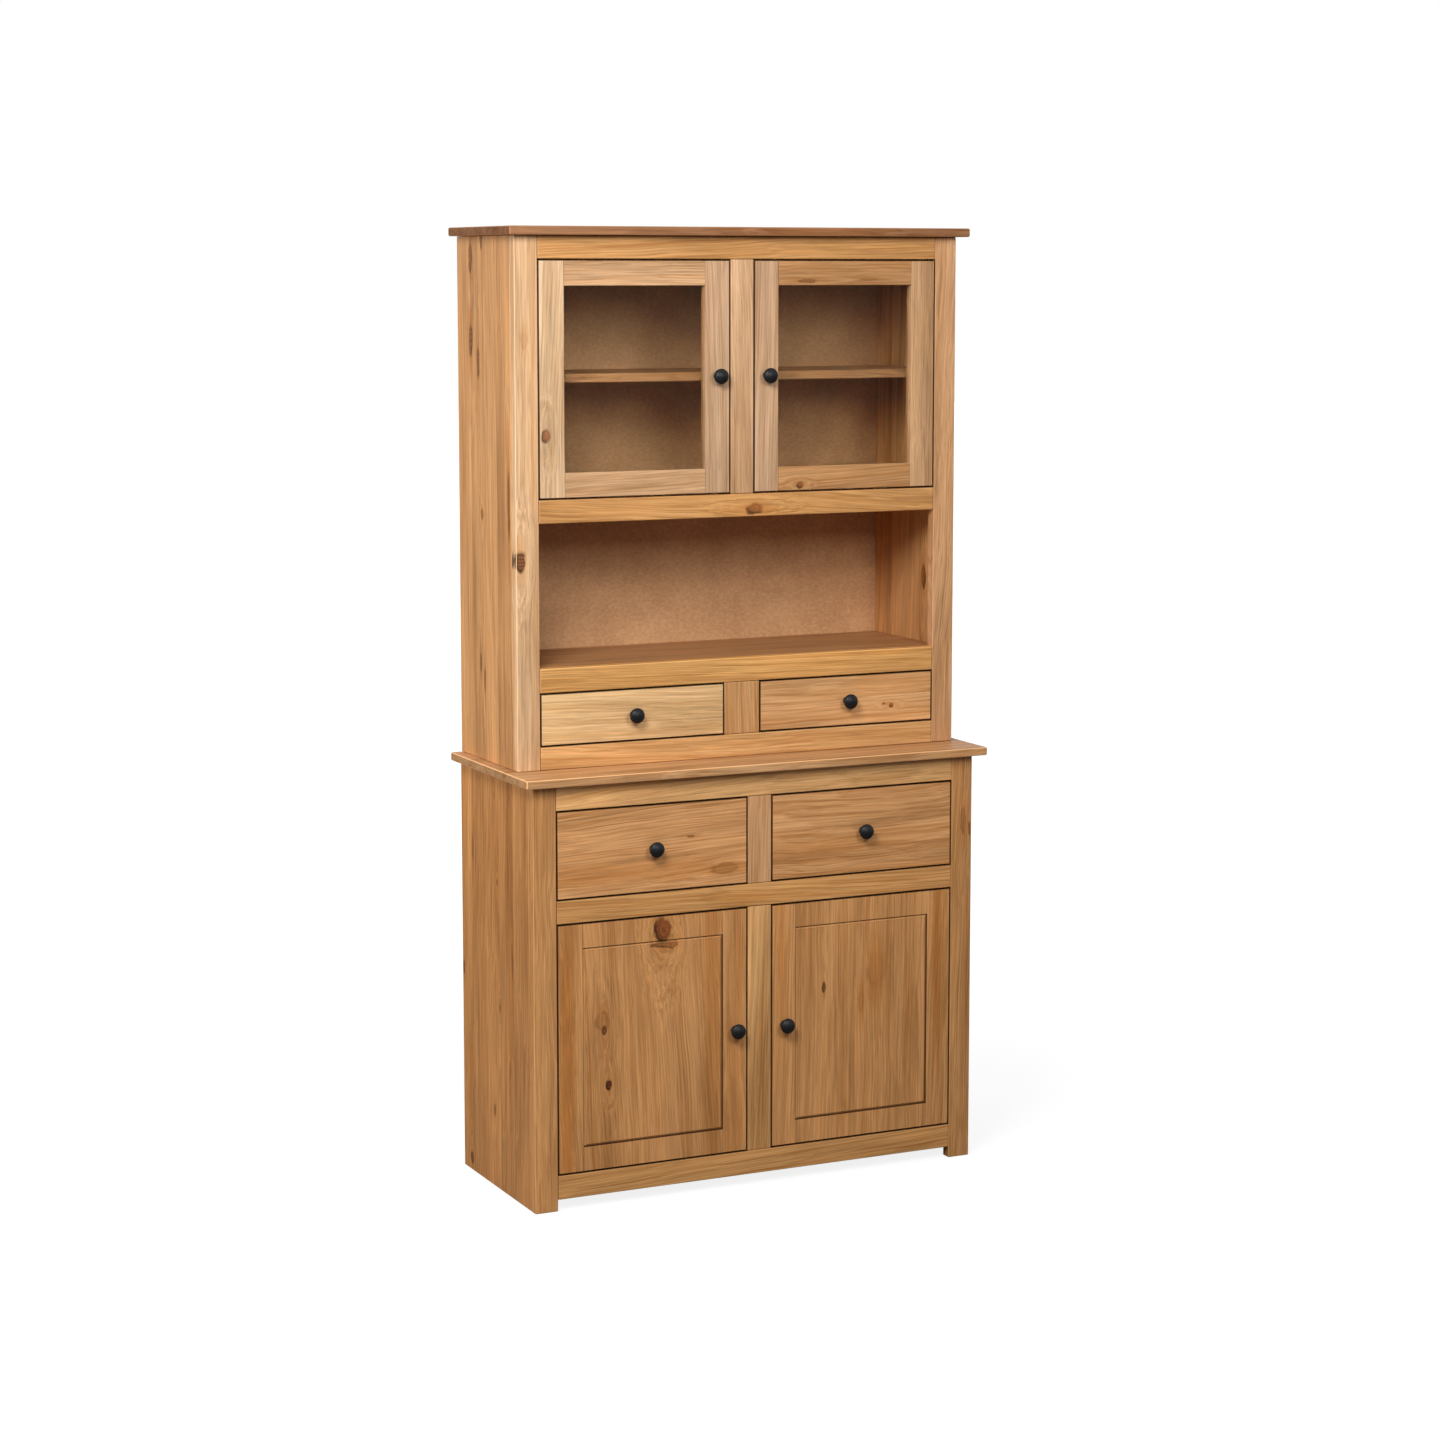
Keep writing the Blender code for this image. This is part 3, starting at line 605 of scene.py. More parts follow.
    @staticmethod
    def make_gap() -> bpy.types.NodeTree:
        """Painted shade along gaps and grooves, and dark joint lines, fading behind the front.

        The distance from the outline is the larger of |x - middle| - half width and |z - middle| -
        half height, and the dark line lies where its size is under a millimetre.
        """
        w = Group("gap_shade_and_joint_line", Vector=ORIGIN, Middle=ORIGIN, Half=(1.0, 0.012, 1.0), Strength=1.0)
        off, half = w.split(w["Vector"] - w["Middle"]), w.split(w["Half"])
        away = [w.math("ABSOLUTE", off[axis]) - half[axis] for axis in (0, 2)]
        line = w.fall(w.math("ABSOLUTE", w.most(*away)), 0.0003, 0.0008)
        return w.give(Wax=line * w["Strength"] * w.fall(off[1], half[1] * 0.5, half[1]))

    @staticmethod
    def make_colour() -> bpy.types.NodeTree:
        """Colour, roughness and height of pine, from what the other groups give."""
        w = Group("pine_colour", Early=[0.6, 0.4, 0.2, 1.0], LateWood=[0.4, 0.2, 0.1, 1.0],
                  Resin=[0.5, 0.25, 0.08, 1.0], Heart=[0.27, 0.080, 0.022, 1.0],
                  Late=0.0, Band=0.0, Fibre=0.5, Line=0.5, Streak=0.5, Tone=0.5, Figure=0.6,
                  Stave=0.0, Joint=0.0, Core=0.0, Rings=0.0, Rim=0.0, Halo=0.0, End=0.0, Edge=0.0,
                  Wear=0.2, Wax=0.0)
        fibre = w["Fibre"] - 0.5
        stripe = (w["Streak"] - 0.46) * 1.3 + w["Late"] * 0.7 + w.rise(w["Line"], 0.47, 0.62) * 0.62
        shade = w.math("MINIMUM", w.most(stripe * w["Figure"], 0.0), 1.0)
        resin = w.rise(w["Tone"], 0.5, 0.72) * 0.5 + w["Band"] * 0.55
        colour = w.mix(shade, w["Early"], w["LateWood"])
        colour = w.mix(w.most(resin * w["Figure"], w["Halo"]), colour, w["Resin"])
        light = (0.5 - w["Tone"]) * 0.95 + (fibre * 1.15 + 1.0)
        light = light + w["Stave"] * 0.15 - w["Joint"] * 0.22
        colour = w.mix(w["Core"], colour * light, w["Heart"] * (1.45 - w["Rings"] * 1.25))
        colour = colour * (1.0 - w["Rim"] * 0.82) * (1.0 - w["End"] * 0.3)
        # Rounded edges lightened towards pale early wood: partly wear, partly a painted highlight.
        colour = w.mix(w["Edge"] * w["Wear"], colour, w["Early"] * 1.45)
        # Painted shade: near-black brown along door and drawer gaps and panel grooves; also dark
        # joint lines.
        colour = w.mix(w["Wax"] * 0.75, colour, (0.032, 0.011, 0.004, 1.0))
        return w.give(Colour=colour, Roughness=fibre * 0.2 + 0.48 + w["End"] * 0.22,
                      Height=w["Fibre"] - w["Late"] * 0.5 - w["Rim"] - w["Joint"] * 1.5)


class Lie(Enum):
    """How a board lies: the axes across its face, through it and along its grain."""

    UPRIGHT = (0, 1, 2)
    LEVEL = (2, 1, 0)
    SIDE = (1, 0, 2)
    FLAT = (1, 2, 0)
    DEEP = (2, 0, 1)

    @classmethod
    def of_board(cls, name: str) -> "Lie":
        """How a cabinet board or a door stick of this name lies."""
        words = {"rail": cls.LEVEL, "stile": cls.UPRIGHT, "side_panel": cls.SIDE}
        return next((lie for word, lie in words.items() if word in name), cls.FLAT)

    def turn(self, w: Wiring, vector: Wire) -> Wire:
        """A vector in the board's own axes."""
        parts = w.split(vector)
        return w.combine(*(parts[axis] for axis in self.value))


class Knot(NamedTuple):
    """A knot or a resin stain, at its place across the face and along the grain."""

    across: float
    along: float
    radius: float = 0.006
    stretch: float = 1.5
    heart: float = 0.9
    flame: float = 0.6

    def mark(self, w: Wiring, grain: Grain, vector: Wire, masks: dict[str, Feed]) -> Wire:
        """Adds the knot's masks, and gives the vector with the grain bent round it."""
        feeds = {title.capitalize(): value for title, value in self._asdict().items()}
        made = w.use(grain.knot, Vector=vector, **feeds)
        for mask in ("Core", "Rings", "Rim", "Halo") if self.heart else ("Halo",):
            masks[mask] = w.most(made[mask], masks.get(mask))
        return made["Vector"]


class Gap(NamedTuple):
    """An outline darkened as far as depth behind it: painted shade in gaps and grooves, joint
    lines.
    """

    x: Span
    z: Span
    front: float
    strength: float = 1.0
    depth: float = 0.012

    @classmethod
    def round_box(cls, box: Box) -> "Gap":
        """Painted shade in the gap round a door or a drawer front."""
        return cls(box.x, box.z, box.y.low)

    @classmethod
    def at_ends(cls, box: Box, lie: Lie, strength: float) -> "Gap":
        """The joints at the two ends of a rail or an upright."""
        x, z = (box.x, box.z.inset(-FAR)) if lie is Lie.LEVEL else (box.x.inset(-FAR), box.z)
        return cls(x, z, box.y.low, strength)

    def mark(self, w: Wiring, grain: Grain, place: Wire, masks: dict[str, Feed]) -> None:
        """Adds the gap's mask."""
        made = w.use(grain.gap, Vector=place, Middle=(self.x.middle, self.front, self.z.middle),
                     Half=(self.x.half, self.depth, self.z.half), Strength=self.strength)
        masks["Wax"] = w.most(made["Wax"], masks.get("Wax"))


class Growth(NamedTuple):
    """How a board was sawn: its pith, its ring width, and how the rings wander and lean."""

    pith: Triple
    ring: float
    wander: float
    lean: float

    @classmethod
    def of_tree(cls, number: int, box: Box, lie: Lie) -> "Growth":
        """The growth of a numbered tree. A wide board has its pith behind, a narrow one beside."""
        draw = np.random.default_rng(number)
        across, through = (getattr(box, "xyz"[axis]) for axis in lie.value[:2])
        side = draw.choice([-1.0, 1.0])
        offset = draw.uniform(0.0, 0.03) if across.half > WIDE_HALF else draw.uniform(0.02, 0.07)
        depth = through.middle + draw.uniform(0.04, 0.08)
        return cls((across.middle + side * offset, depth, draw.uniform(-40, 40)),
                   draw.uniform(0.0034, 0.0058), draw.uniform(0.008, 0.018),
                   side * draw.uniform(0.0, 0.05))


@dataclass(frozen=True)
class Pine:
    """A pine finish: record slot, mean colour, grain, and edges pale from wear and painted
    highlight.
    """

    slot: str
    tone: Triple
    figure: float = 0.75
    wear: float = 0.15
    relief: float = 0.3
    gloss: float = 0.18
    early: Triple = (1.12, 1.14, 1.18)
    late: Triple = (0.77, 0.66, 0.54)
    resin: Triple = (0.86, 0.67, 0.43)

    def shade(self, share: Triple) -> tuple[float, ...]:
        """The mean colour times a share for each channel."""
        return (*(tone * part for tone, part in zip(self.tone, share)), 1.0)

    def material(self, grain: Grain, name: str, lie: Lie, growth: Growth,
                 knots: Sequence[Knot] = (), stave: float = 0.0,
                 gaps: Sequence[Gap] = ()) -> Material:
        """Makes the material of one board.

        Args:
            grain: The shared shader groups.
            name: The material's name.
            lie: How the board lies.
            growth: How it was sawn.
            knots: Its knots and resin stains.
            stave: Width of its glued staves, or 0 for a single board.
            gaps: Outlines darkened with painted shade in gaps and grooves, and dark joint lines.

        Returns:
            The material.
        """
        w = Shader(name)
        source = w.outs("TexCoord")
        vector = place = lie.turn(w, source["Object"])
        masks = {"Wear": self.wear, "Figure": self.figure,
                 **w.use(grain.faces, Normal=lie.turn(w, source["Normal"]))}
        for gap in gaps:
            gap.mark(w, grain, source["Object"], masks)
        for knot in knots:
            vector = knot.mark(w, grain, vector, masks)
        vector = vector - growth.pith
        if stave:
            staves = w.use(grain.staves, Vector=vector, Place=w.split(place)[0], Width=stave)
            vector = staves.pop("Vector")
            masks.update(staves)
        masks.update(w.use(grain.growth, Vector=vector, Ring=growth.ring, Wander=growth.wander,
                           Lean=growth.lean))
        made = w.use(grain.colour, Early=self.shade(self.early), LateWood=self.shade(self.late),
                     Resin=self.shade(self.resin), **masks)
        return w.give({"Base Color": made["Colour"], "Roughness": made["Roughness"],
                       "Specular IOR Level": self.gloss,
                       "Normal": w.bump(made["Height"], self.relief)})


class Stain(Enum):
    """The tones that the boards come in."""

    # The fourth number lightens the rounded edges, partly as wear and partly as a painted
    # highlight.
    CREAM = Pine("pine_frame", (0.66, 0.41, 0.22), 0.6, 0.7)
    WHEAT = Pine("pine_frame", (0.665, 0.405, 0.223), 0.6)
    CORN = Pine("pine_frame", (0.62, 0.336, 0.16), 0.65)
    MAIZE = Pine("pine_frame", (0.56, 0.285, 0.10), 0.8, 0.5)
    STRAW = Pine("pine_frame", (0.68, 0.36, 0.121), 0.8, 0.7)
    FAWN = Pine("pine_frame", (0.52, 0.28, 0.116), 0.8)
    BARLEY = Pine("pine_frame", (0.65, 0.356, 0.141), 0.75)
    TAN = Pine("pine_frame", (0.54, 0.266, 0.098), 0.75, 0.6)
    OCHRE = Pine("pine_frame", (0.58, 0.295, 0.104), 0.85)
    BLUSH = Pine("pine_door", (0.72, 0.49, 0.293), 0.6)
    ROSE = Pine("pine_door", (0.52, 0.325, 0.19), 0.7)
    BISCUIT = Pine("pine_door", (0.57, 0.337, 0.173), 0.65)
    SAND = Pine("pine_door", (0.48, 0.2475, 0.101), 0.8)
    BUTTER = Pine("pine_door", (0.72, 0.46, 0.22), 0.55)
    DUNE = Pine("pine_door", (0.645, 0.348, 0.149), 0.7)
    HONEY = Pine("pine_door", (0.605, 0.308, 0.125), 0.9)
    NUT = Pine("pine_door", (0.57, 0.278, 0.102), 0.65)
    AMBER = Pine("pine_side", (0.58, 0.295, 0.116), 0.7)
    TOFFEE = Pine("pine_side", (0.56, 0.259, 0.086), 0.75)
    RUSSET = Pine("pine_top", (0.61, 0.335, 0.152), 0.8, 1.0)
    # The hutch top is dark partly as painted shade, for its shaded front edge.
    UMBER = Pine("pine_top", (0.32, 0.147, 0.064), 1.0, 0.6)
    BARE = Pine("pine_inner", (0.43, 0.21, 0.085), 0.7)


@dataclass(frozen=True)
class Fibreboard:
    """Pressed fibreboard: a mottled brown with short fibres."""

    slot: str = "back_board"
    light: Triple = (0.72, 0.41, 0.20)
    dark: Triple = (0.50, 0.26, 0.115)

    def material(self) -> Material:
        """Makes the material."""
        w = Shader(self.slot)
        place = w.add("TexCoord", output="Object")
        cloud = w.noise(place, 14.0, 4.0, 0.6)
        chips = w.noise(place * (1.0, 1.0, 1.5), 130.0, 4.0, 0.7)
        fleck = w.noise(place * (1.0, 1.0, 2.5), 480.0)
        shade = w.rise(chips, 0.35, 0.7) * 0.6 + w.rise(cloud, 0.3, 0.7) * 0.4
        colour = w.mix(shade, (*self.dark, 1.0), (*self.light, 1.0))
        return w.give({"Base Color": colour * (1.0 - w.rise(fleck, 0.62, 0.75) * 0.3),
                       "Roughness": w.ease(chips, 0.55, 0.8), "Normal": w.bump(chips, 0.15)})


@dataclass(frozen=True)
class Metal:
    """A metal or a satin paint on metal, with a fine grain in its gloss."""

    slot: str
    colour: Triple
    metallic: float
    roughness: Span
    grain: float
    relief: float
    gloss: float = 0.5

    def material(self) -> Material:
        """Makes the material."""
        w = Shader(self.slot)
        grain = w.noise(w.add("TexCoord", output="Object"), self.grain, 3.0, 0.6)
        return w.give({"Base Color": w.join("MULTIPLY", self.colour, w.ease(grain, 0.7, 1.3)),
                       "Metallic": self.metallic, "Specular IOR Level": self.gloss,
                       "Roughness": w.ease(grain, *self.roughness),
                       "Normal": w.bump(grain, self.relief, 0.0002)})


@dataclass(frozen=True)
class Glass:
    """A clear pane that lets lamps through, with a grey tint that darkens the cupboard behind it as
    painted shade.
    """

    slot: str = "pane"
    # Grey tint: painted shade that darkens the cupboard's inside seen through the pane.
    tint: Triple = (0.82, 0.82, 0.78)
    ior: float = 1.13
    shade: float = 0.42

    def material(self) -> Material:
        """Makes the material. Shadow rays pass by its Alpha, so that what is behind is lit."""
        w = Shader(self.slot)
        shadow = w.add("LightPath", output="Is Shadow Ray")
        return w.give({"Base Color": (*self.tint, 1.0), "Roughness": 0.0, "IOR": self.ior,
                       "Transmission Weight": 1.0, "Alpha": 1.0 - shadow * self.shade})


# Pieces


class Shop:
    """The shader groups and finishes that the parts share, and a count of the new pieces."""

    def __init__(self) -> None:
        """Builds the groups and the finishes."""
        self.grain = Grain()
        self.fibreboard = Fibreboard().material()
        self.black = Metal("knob_black", (0.009, 0.0095, 0.011), 0.0, Span(0.3, 0.5), 900.0, 0.2,
                           0.2).material()
        self.plastic = Metal("catch_black", (0.02, 0.02, 0.02), 0.0, Span(0.5, 0.7), 700.0, 0.1,
                             0.4).material()
        self.steel = Metal("steel", (0.56, 0.56, 0.57), 1.0, Span(0.25, 0.42), 500.0,
                           0.1).material()
        self.glass = Glass().material()
        self.count = 0


@dataclass(frozen=True)
class KnobShape:
    """Sizes of a turned knob, from the face that it stands on."""

    proud: float = 0.025
    radius: float = 0.014
    widest: float = 0.0172
    neck: float = 0.0055
    neck_end: float = 0.0085
    waist: float = 0.0006
    foot: float = 0.0078
    foot_height: float = 0.0016
    soft: float = 0.0008

    def profile(self) -> np.ndarray:
        """Half outline from the foot's middle to the tip.

        A flat foot with a soft edge, a waisted neck, an underside that flares as a quarter of an
        ellipse, and a low dome whose height falls with the square of the radius.
        """
        foot = arc(self.foot - self.soft, 0.0, self.soft, self.foot_height, 0)
        share = np.linspace(0.0, 1.0, 6)[1:]
        neck = np.stack([self.neck - self.waist * np.sin(share * math.pi),
                         self.foot_height + share * (self.neck_end - self.foot_height)], axis=1)
        under = self.widest - self.soft
        flare = arc(self.neck, under, self.radius - self.neck, under - self.neck_end, -1, 8)[1:]
        rim = [[self.radius, self.widest], [self.radius - 0.0001, self.widest + 0.0006]]
        across, brow = np.linspace(0.985, 0.0, 12), self.widest + 0.0012
        crown = np.stack([self.radius * across,
                          brow + (self.proud - brow) * (1 - across ** 2) ** 0.8], axis=1)
        outline = np.concatenate([[[0.0, 0.0003]], foot, neck, flare, rim, crown])
        return outline * (1, -1)


@dataclass
class Part:
    """A part of the sideboard, whose name starts the names of its nodes and pieces.

    A word that names a node or a piece is its full name, or starts with an underscore that stands
    for the part's own name.
    """

    shop: Shop
    name: str
    BODY = ""   # the body that its pieces ride on, if that isn't named as the part is

    def full(self, word: str) -> str:
        """The full name that a word stands for."""
        return self.name + word if word.startswith("_") else word

    def box(self, word: str) -> Box:
        """The box of one of its nodes."""
        return Box.of_node(self.full(word))

    def add(self, word: str, surface: Surface, material: Material, *nodes: str) -> None:
        """Makes a new piece.

        Args:
            word: The piece's name.
            surface: Its shape, in place.
            material: Its material, whose name starts with the record's slot.
            *nodes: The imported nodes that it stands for.
        """
        body = self.BODY or self.name
        piece = surface.to_object(self.full(word))
        piece.data.materials.append(material)
        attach(piece, body)
        if nodes:
            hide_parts(*map(self.full, nodes))
        self.shop.count += 1
        LOG.info("%s: %d faces on %s", piece.name, len(piece.data.polygons), body)

    def pine(self, word: str, box: Box, lie: Lie, stain: Stain, tree: int | Growth,
             **looks: object) -> Material:
        """Makes the material of one board.

        Args:
            word: The board's name.
            box: Its outline.
            lie: How it lies.
            stain: Its tone.
            tree: The number of its tree, or how it was sawn.
            **looks: Knots, stave width and gaps, as Pine.material takes them.

        Returns:
            The material, named after its record slot and the board.
        """
        growth = tree if isinstance(tree, Growth) else Growth.of_tree(tree, box, lie)
        name = f"{stain.value.slot}.{self.full(word)}"
        return stain.value.material(self.shop.grain, name, lie, growth, **looks)

    def board(self, word: str, box: Box, lie: Lie, stain: Stain, tree: int | Growth, *nodes: str,
              radius: float = 0.0012, **looks: object) -> None:
        """Makes a board with rounded edges and its own figure."""
        material = self.pine(word, box, lie, stain, tree, **looks)
        self.add(word, rounded_board(box, radius), material, *nodes)

    def finish(self, word: str, material: Material) -> None:
        """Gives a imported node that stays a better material."""
        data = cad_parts[self.full(word)].data
        data.materials.clear()
        data.materials.append(material)
        LOG.info("%s: kept, in %s", self.full(word), material.name)

    def screws(self, word: str, places: Sequence[Sequence[float]], radius: float = 0.0035,
               height: float = 0.0015) -> None:
        """Makes a set of screw heads that face backwards as one piece."""
        heads = [screw_head(place, radius, height) for place in places]
        self.add(word, Surface.joined(heads), self.shop.steel)

    def knob(self, front: Span) -> None:
        """Makes the knob on a front, and the head of the screw that holds it from behind."""
        x, z = self.box("_knob").x.middle, self.box("_knob").z.middle
        knob = turned(KnobShape().profile(), (x, front.low, z), 1, 40)
        self.add("_knob_turned", knob, self.shop.black, "_knob")
        self.screws("_knob_screw", [(x, front.high, z)])

    def dress(self) -> None:
        """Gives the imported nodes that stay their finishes, where there are any."""


class Plan(NamedTuple):
    """One board of a carcass: its node's name, its stain and its knots."""

    name: str
    stain: Stain
    knots: tuple[Knot, ...] = ()


@dataclass
class Carcass(Part):
    """A box of side panels and boards behind a face frame.

    Its frame boards and its kept boards take their trees in order, from first_tree and ten after.
    A row of openings is given by its lower rail, its upper rail and its centre stile.
    """

    BODY = "cabinet"
    edge: float
    side_stave: float
    floor_stave: float
    first_tree: int
    shelf_tree: int
    shelf: tuple[str, str]
    top: Stain
    rows: tuple[tuple[str, str, str], ...]
    frame_boards: tuple[Plan, ...]
    kept_boards: tuple[Plan, ...]

    def openings(self) -> list[Gap]:
        """The openings for doors and drawers: two in each row, beside its centre stile."""
        left, right = self.box("_left_front_stile"), self.box("_right_front_stile")
        gaps = []
        for low, high, centre in self.rows:
            z = Span(self.box(low).z.high, self.box(high).z.low)
            middle = self.box(centre).x
            for x in (Span(left.x.high, middle.low), Span(middle.high, right.x.low)):
                gaps.append(Gap(x, z, left.y.low))
        return gaps

    def build(self) -> None:
        """Makes the face frame, the top and the shelf, whose edges show."""
        openings = self.openings()
        for tree, (node, stain, knots) in enumerate(self.frame_boards, self.first_tree):
            lie, box = Lie.of_board(node), self.box(node)
            # Boards beside an opening get painted shade along it; others get dark joint lines at
            # their ends.
            gaps = [gap for gap in openings if box.borders(gap.x, gap.z, TOUCH)]
            if "front_stile" not in node:
                gaps.append(Gap.at_ends(box, lie, 0.75))
            self.board(f"{node}_board", box, lie, stain, tree, node, radius=self.edge,
                       knots=knots, gaps=gaps)
        self.board("_top", self.box("_top_board"), Lie.FLAT, self.top, TOP_TREE, "_top_board",
                   radius=TOP_EDGE, stave=TOP_STAVE)
        name, node = self.shelf
        self.board(name, self.box(node), Lie.FLAT, Stain.BARE, self.shelf_tree, node,
                   radius=SHELF_EDGE, stave=SHELF_STAVE)

    def dress(self) -> None:
        """Gives the boards that stay as packed their finishes."""
        for tree, (node, stain, knots) in enumerate(self.kept_boards, self.first_tree + 10):
            lie = Lie.of_board(node)
            stave = self.side_stave if lie is Lie.SIDE else self.floor_stave
            self.finish(node, self.pine(node, self.box(node), lie, stain, tree, knots=knots,
                                        stave=stave))
        self.finish("_back_panel", self.shop.fibreboard)


@dataclass
class BaseCarcass(Carcass):
    """The base cupboard."""

    name: str = "base"
    edge: float = 0.0018
    side_stave: float = 0.068
    floor_stave: float = 0.08
    first_tree: int = 11
    shelf_tree: int = 19
    shelf: tuple[str, str] = ("_shelf", "_inner_shelf")
    top: Stain = Stain.RUSSET
    rows: tuple[tuple[str, str, str], ...] = (
        ("_bottom_rail", "_mid_rail", "_door_centre_stile"),
        ("_mid_rail", "_top_rail", "_drawer_centre_stile"))
    frame_boards: tuple[Plan, ...] = (
        Plan("_left_front_stile", Stain.TAN),
        Plan("_right_front_stile", Stain.TAN, (
            Knot(0.427, 0.649, 0.005, 5.0, 0.35, 0.5), Knot(0.4395, 0.633, 0.0025, 5.0, 0.8, 0.5))),
        Plan("_top_rail", Stain.BARLEY),
        Plan("_mid_rail", Stain.OCHRE, (Knot(0.538, -0.03, 0.008, 3.0, 0.0, 0.5),)),
        Plan("_bottom_rail", Stain.OCHRE),
        Plan("_door_centre_stile", Stain.BARLEY),
        Plan("_drawer_centre_stile", Stain.CORN))
    kept_boards: tuple[Plan, ...] = (
        Plan("_left_side_panel", Stain.TOFFEE, (
            Knot(0.022, 0.7315, 0.0018, 4.0, 0.6), Knot(0.0108, 0.5732, 0.0045, 1.2, 0.4),
            Knot(0.132, 0.618, 0.003, 8.0, 0.5), Knot(0.184, 0.382, 0.004, 3.0, 0.9),
            Knot(0.0013, 0.342, 0.004, 1.6, 0.4), Knot(-0.046, 0.237, 0.0026, 7.0, 0.5),
            Knot(0.031, 0.144, 0.0045, 2.5, 0.5), Knot(0.150, 0.024, 0.007, 1.6, 0.75),
            Knot(-0.06, 0.443, 0.003, 10.0, 0.4), Knot(-0.05, 0.30, 0.007, 16.0, 0.0, 0.6))),
        Plan("_right_side_panel", Stain.TOFFEE, (
            Knot(0.05, 0.41, 0.006, 1.5), Knot(-0.06, 0.15, 0.004, 4.0, 0.5))),
        Plan("_floor_board", Stain.BARE),
        Plan("_drawer_board", Stain.BARE))


@dataclass
class HutchCarcass(Carcass):
    """The hutch, with its open bay."""

    name: str = "hutch"
    edge: float = 0.0022
    side_stave: float = 0.062
    floor_stave: float = 0.085
    first_tree: int = 31
    shelf_tree: int = 40
    shelf: tuple[str, str] = ("glazed_shelf", "_glazed_shelf")
    top: Stain = Stain.UMBER
    rows: tuple[tuple[str, str, str], ...] = (
        ("_bottom_rail", "_shelf_rail", "_drawer_centre_stile"),
        ("_mid_rail", "_top_rail", "_door_centre_stile"))
    frame_boards: tuple[Plan, ...] = (
        Plan("_left_front_stile", Stain.CREAM, (
            Knot(-0.434, 1.164, 0.0095, 1.9, 0.9, 0.5),
            Knot(-0.425, 1.552, 0.0075, 1.9, 0.12, 0.45),
            Knot(-0.412, 1.585, 0.0035, 4.0, 0.0, 0.4))),
        Plan("_right_front_stile", Stain.CORN),
        Plan("_top_rail", Stain.MAIZE),
        Plan("_mid_rail", Stain.MAIZE, (Knot(1.2437, 0.026, 0.0095, 1.7, 0.75, 0.7),)),
        Plan("_shelf_rail", Stain.STRAW),
        Plan("_bottom_rail", Stain.BARLEY),
        Plan("_door_centre_stile", Stain.WHEAT),
        Plan("_drawer_centre_stile", Stain.FAWN))
    kept_boards: tuple[Plan, ...] = (
        Plan("_left_side_panel", Stain.AMBER, (
            Knot(0.1227, 1.70, 0.0078, 3.2, 0.8, 0.9), Knot(0.068, 1.733, 0.005, 4.0, 0.7, 0.8),
            Knot(0.124, 1.551, 0.0075, 3.6, 0.75, 0.9), Knot(0.0875, 1.512, 0.0058, 4.5, 0.65, 0.8),
            Knot(-0.056, 1.262, 0.0055, 10.0, 0.55, 0.9),
            Knot(0.0745, 1.2382, 0.006, 1.4, 0.5, 0.6), Knot(0.086, 0.967, 0.004, 4.0, 0.5, 0.6),
            Knot(0.067, 0.936, 0.004, 5.0, 0.5, 0.6))),
        Plan("_right_side_panel", Stain.AMBER, (Knot(-0.007, 1.097, 0.0075, 3.0, 0.85),)),
        Plan("_cupboard_floor", Stain.BARE),
        Plan("_bay_floor", Stain.BARE),
        Plan("_drawer_board", Stain.BARE))


@dataclass
class Door(Part):
    """What the glazed and the panelled doors share. Its side is -1 for left and 1 for right."""

    side: int
    tree: int
    stile: float = 0.0477
    rail: float = 0.0442
    edge: float = 0.0011
    pin_radius: float = 0.0025
    pin_soft: float = 0.0006
    pin_sunk: float = 0.003
    pin_inset: float = 0.009
    pin_behind: float = 0.006

    def outline(self) -> Box:
        """The door frame's box, without its pins."""
        box = self.box("_frame")
        return replace(box, z=box.z.inset(PIN_PROUD))

    def light(self) -> Box:
        """The opening between the frame's sticks."""
        box = self.outline()
        return replace(box, x=box.x.inset(self.stile), z=box.z.inset(self.rail))

    def sticks(self) -> dict[str, Box]:
        """The boxes of the frame's two stiles, from left to right, and two rails."""
        box, inner, wide = self.outline(), self.light().x.inset(STICK_GAP), self.stile - STICK_GAP
        west, east = ("hinge", "knob")[::-self.side]
        return {f"{west}_stile": replace(box, x=box.x.first(wide)),
                f"{east}_stile": replace(box, x=box.x.last(wide)),
                "top_rail": replace(box, x=inner, z=box.z.last(self.rail)),
                "bottom_rail": replace(box, x=inner, z=box.z.first(self.rail))}

    def gaps(self, name: str, box: Box) -> list[Gap]:
        """Painted shade in the gap round the door, and dark joints at the ends of a rail."""
        joints = [Gap.at_ends(box, Lie.LEVEL, 0.4)] if "rail" in name else []
        return [Gap.round_box(self.outline()), *joints]

    def fittings(self) -> None:
        """Makes the knob, its screw, the strike plate and the pins."""
        box = self.outline()
        self.knob(box.y)
        plate = rounded_board(self.box("_strike"), 0.0004, 3)
        self.add("_strike_plate", plate, self.shop.steel, "_strike")
        line = (box.x.inset(self.pin_inset)[max(self.side, 0)], box.y.low + self.pin_behind, 0.0)
        flat, soft, pins = self.pin_radius - self.pin_soft, self.pin_soft, []
        for z in (Span(box.z.low - PIN_PROUD, box.z.low + self.pin_sunk),
                  Span(box.z.high - self.pin_sunk, box.z.high + PIN_PROUD)):
            profile = np.concatenate([[[0.0, z.low]], arc(flat, z.low + soft, soft, soft, -1),
                                      arc(flat, z.high - soft, soft, soft, 0), [[0.0, z.high]]])
            pins.append(turned(profile, line, 2, 20))
        self.add("_pins", Surface.joined(pins), self.shop.black)


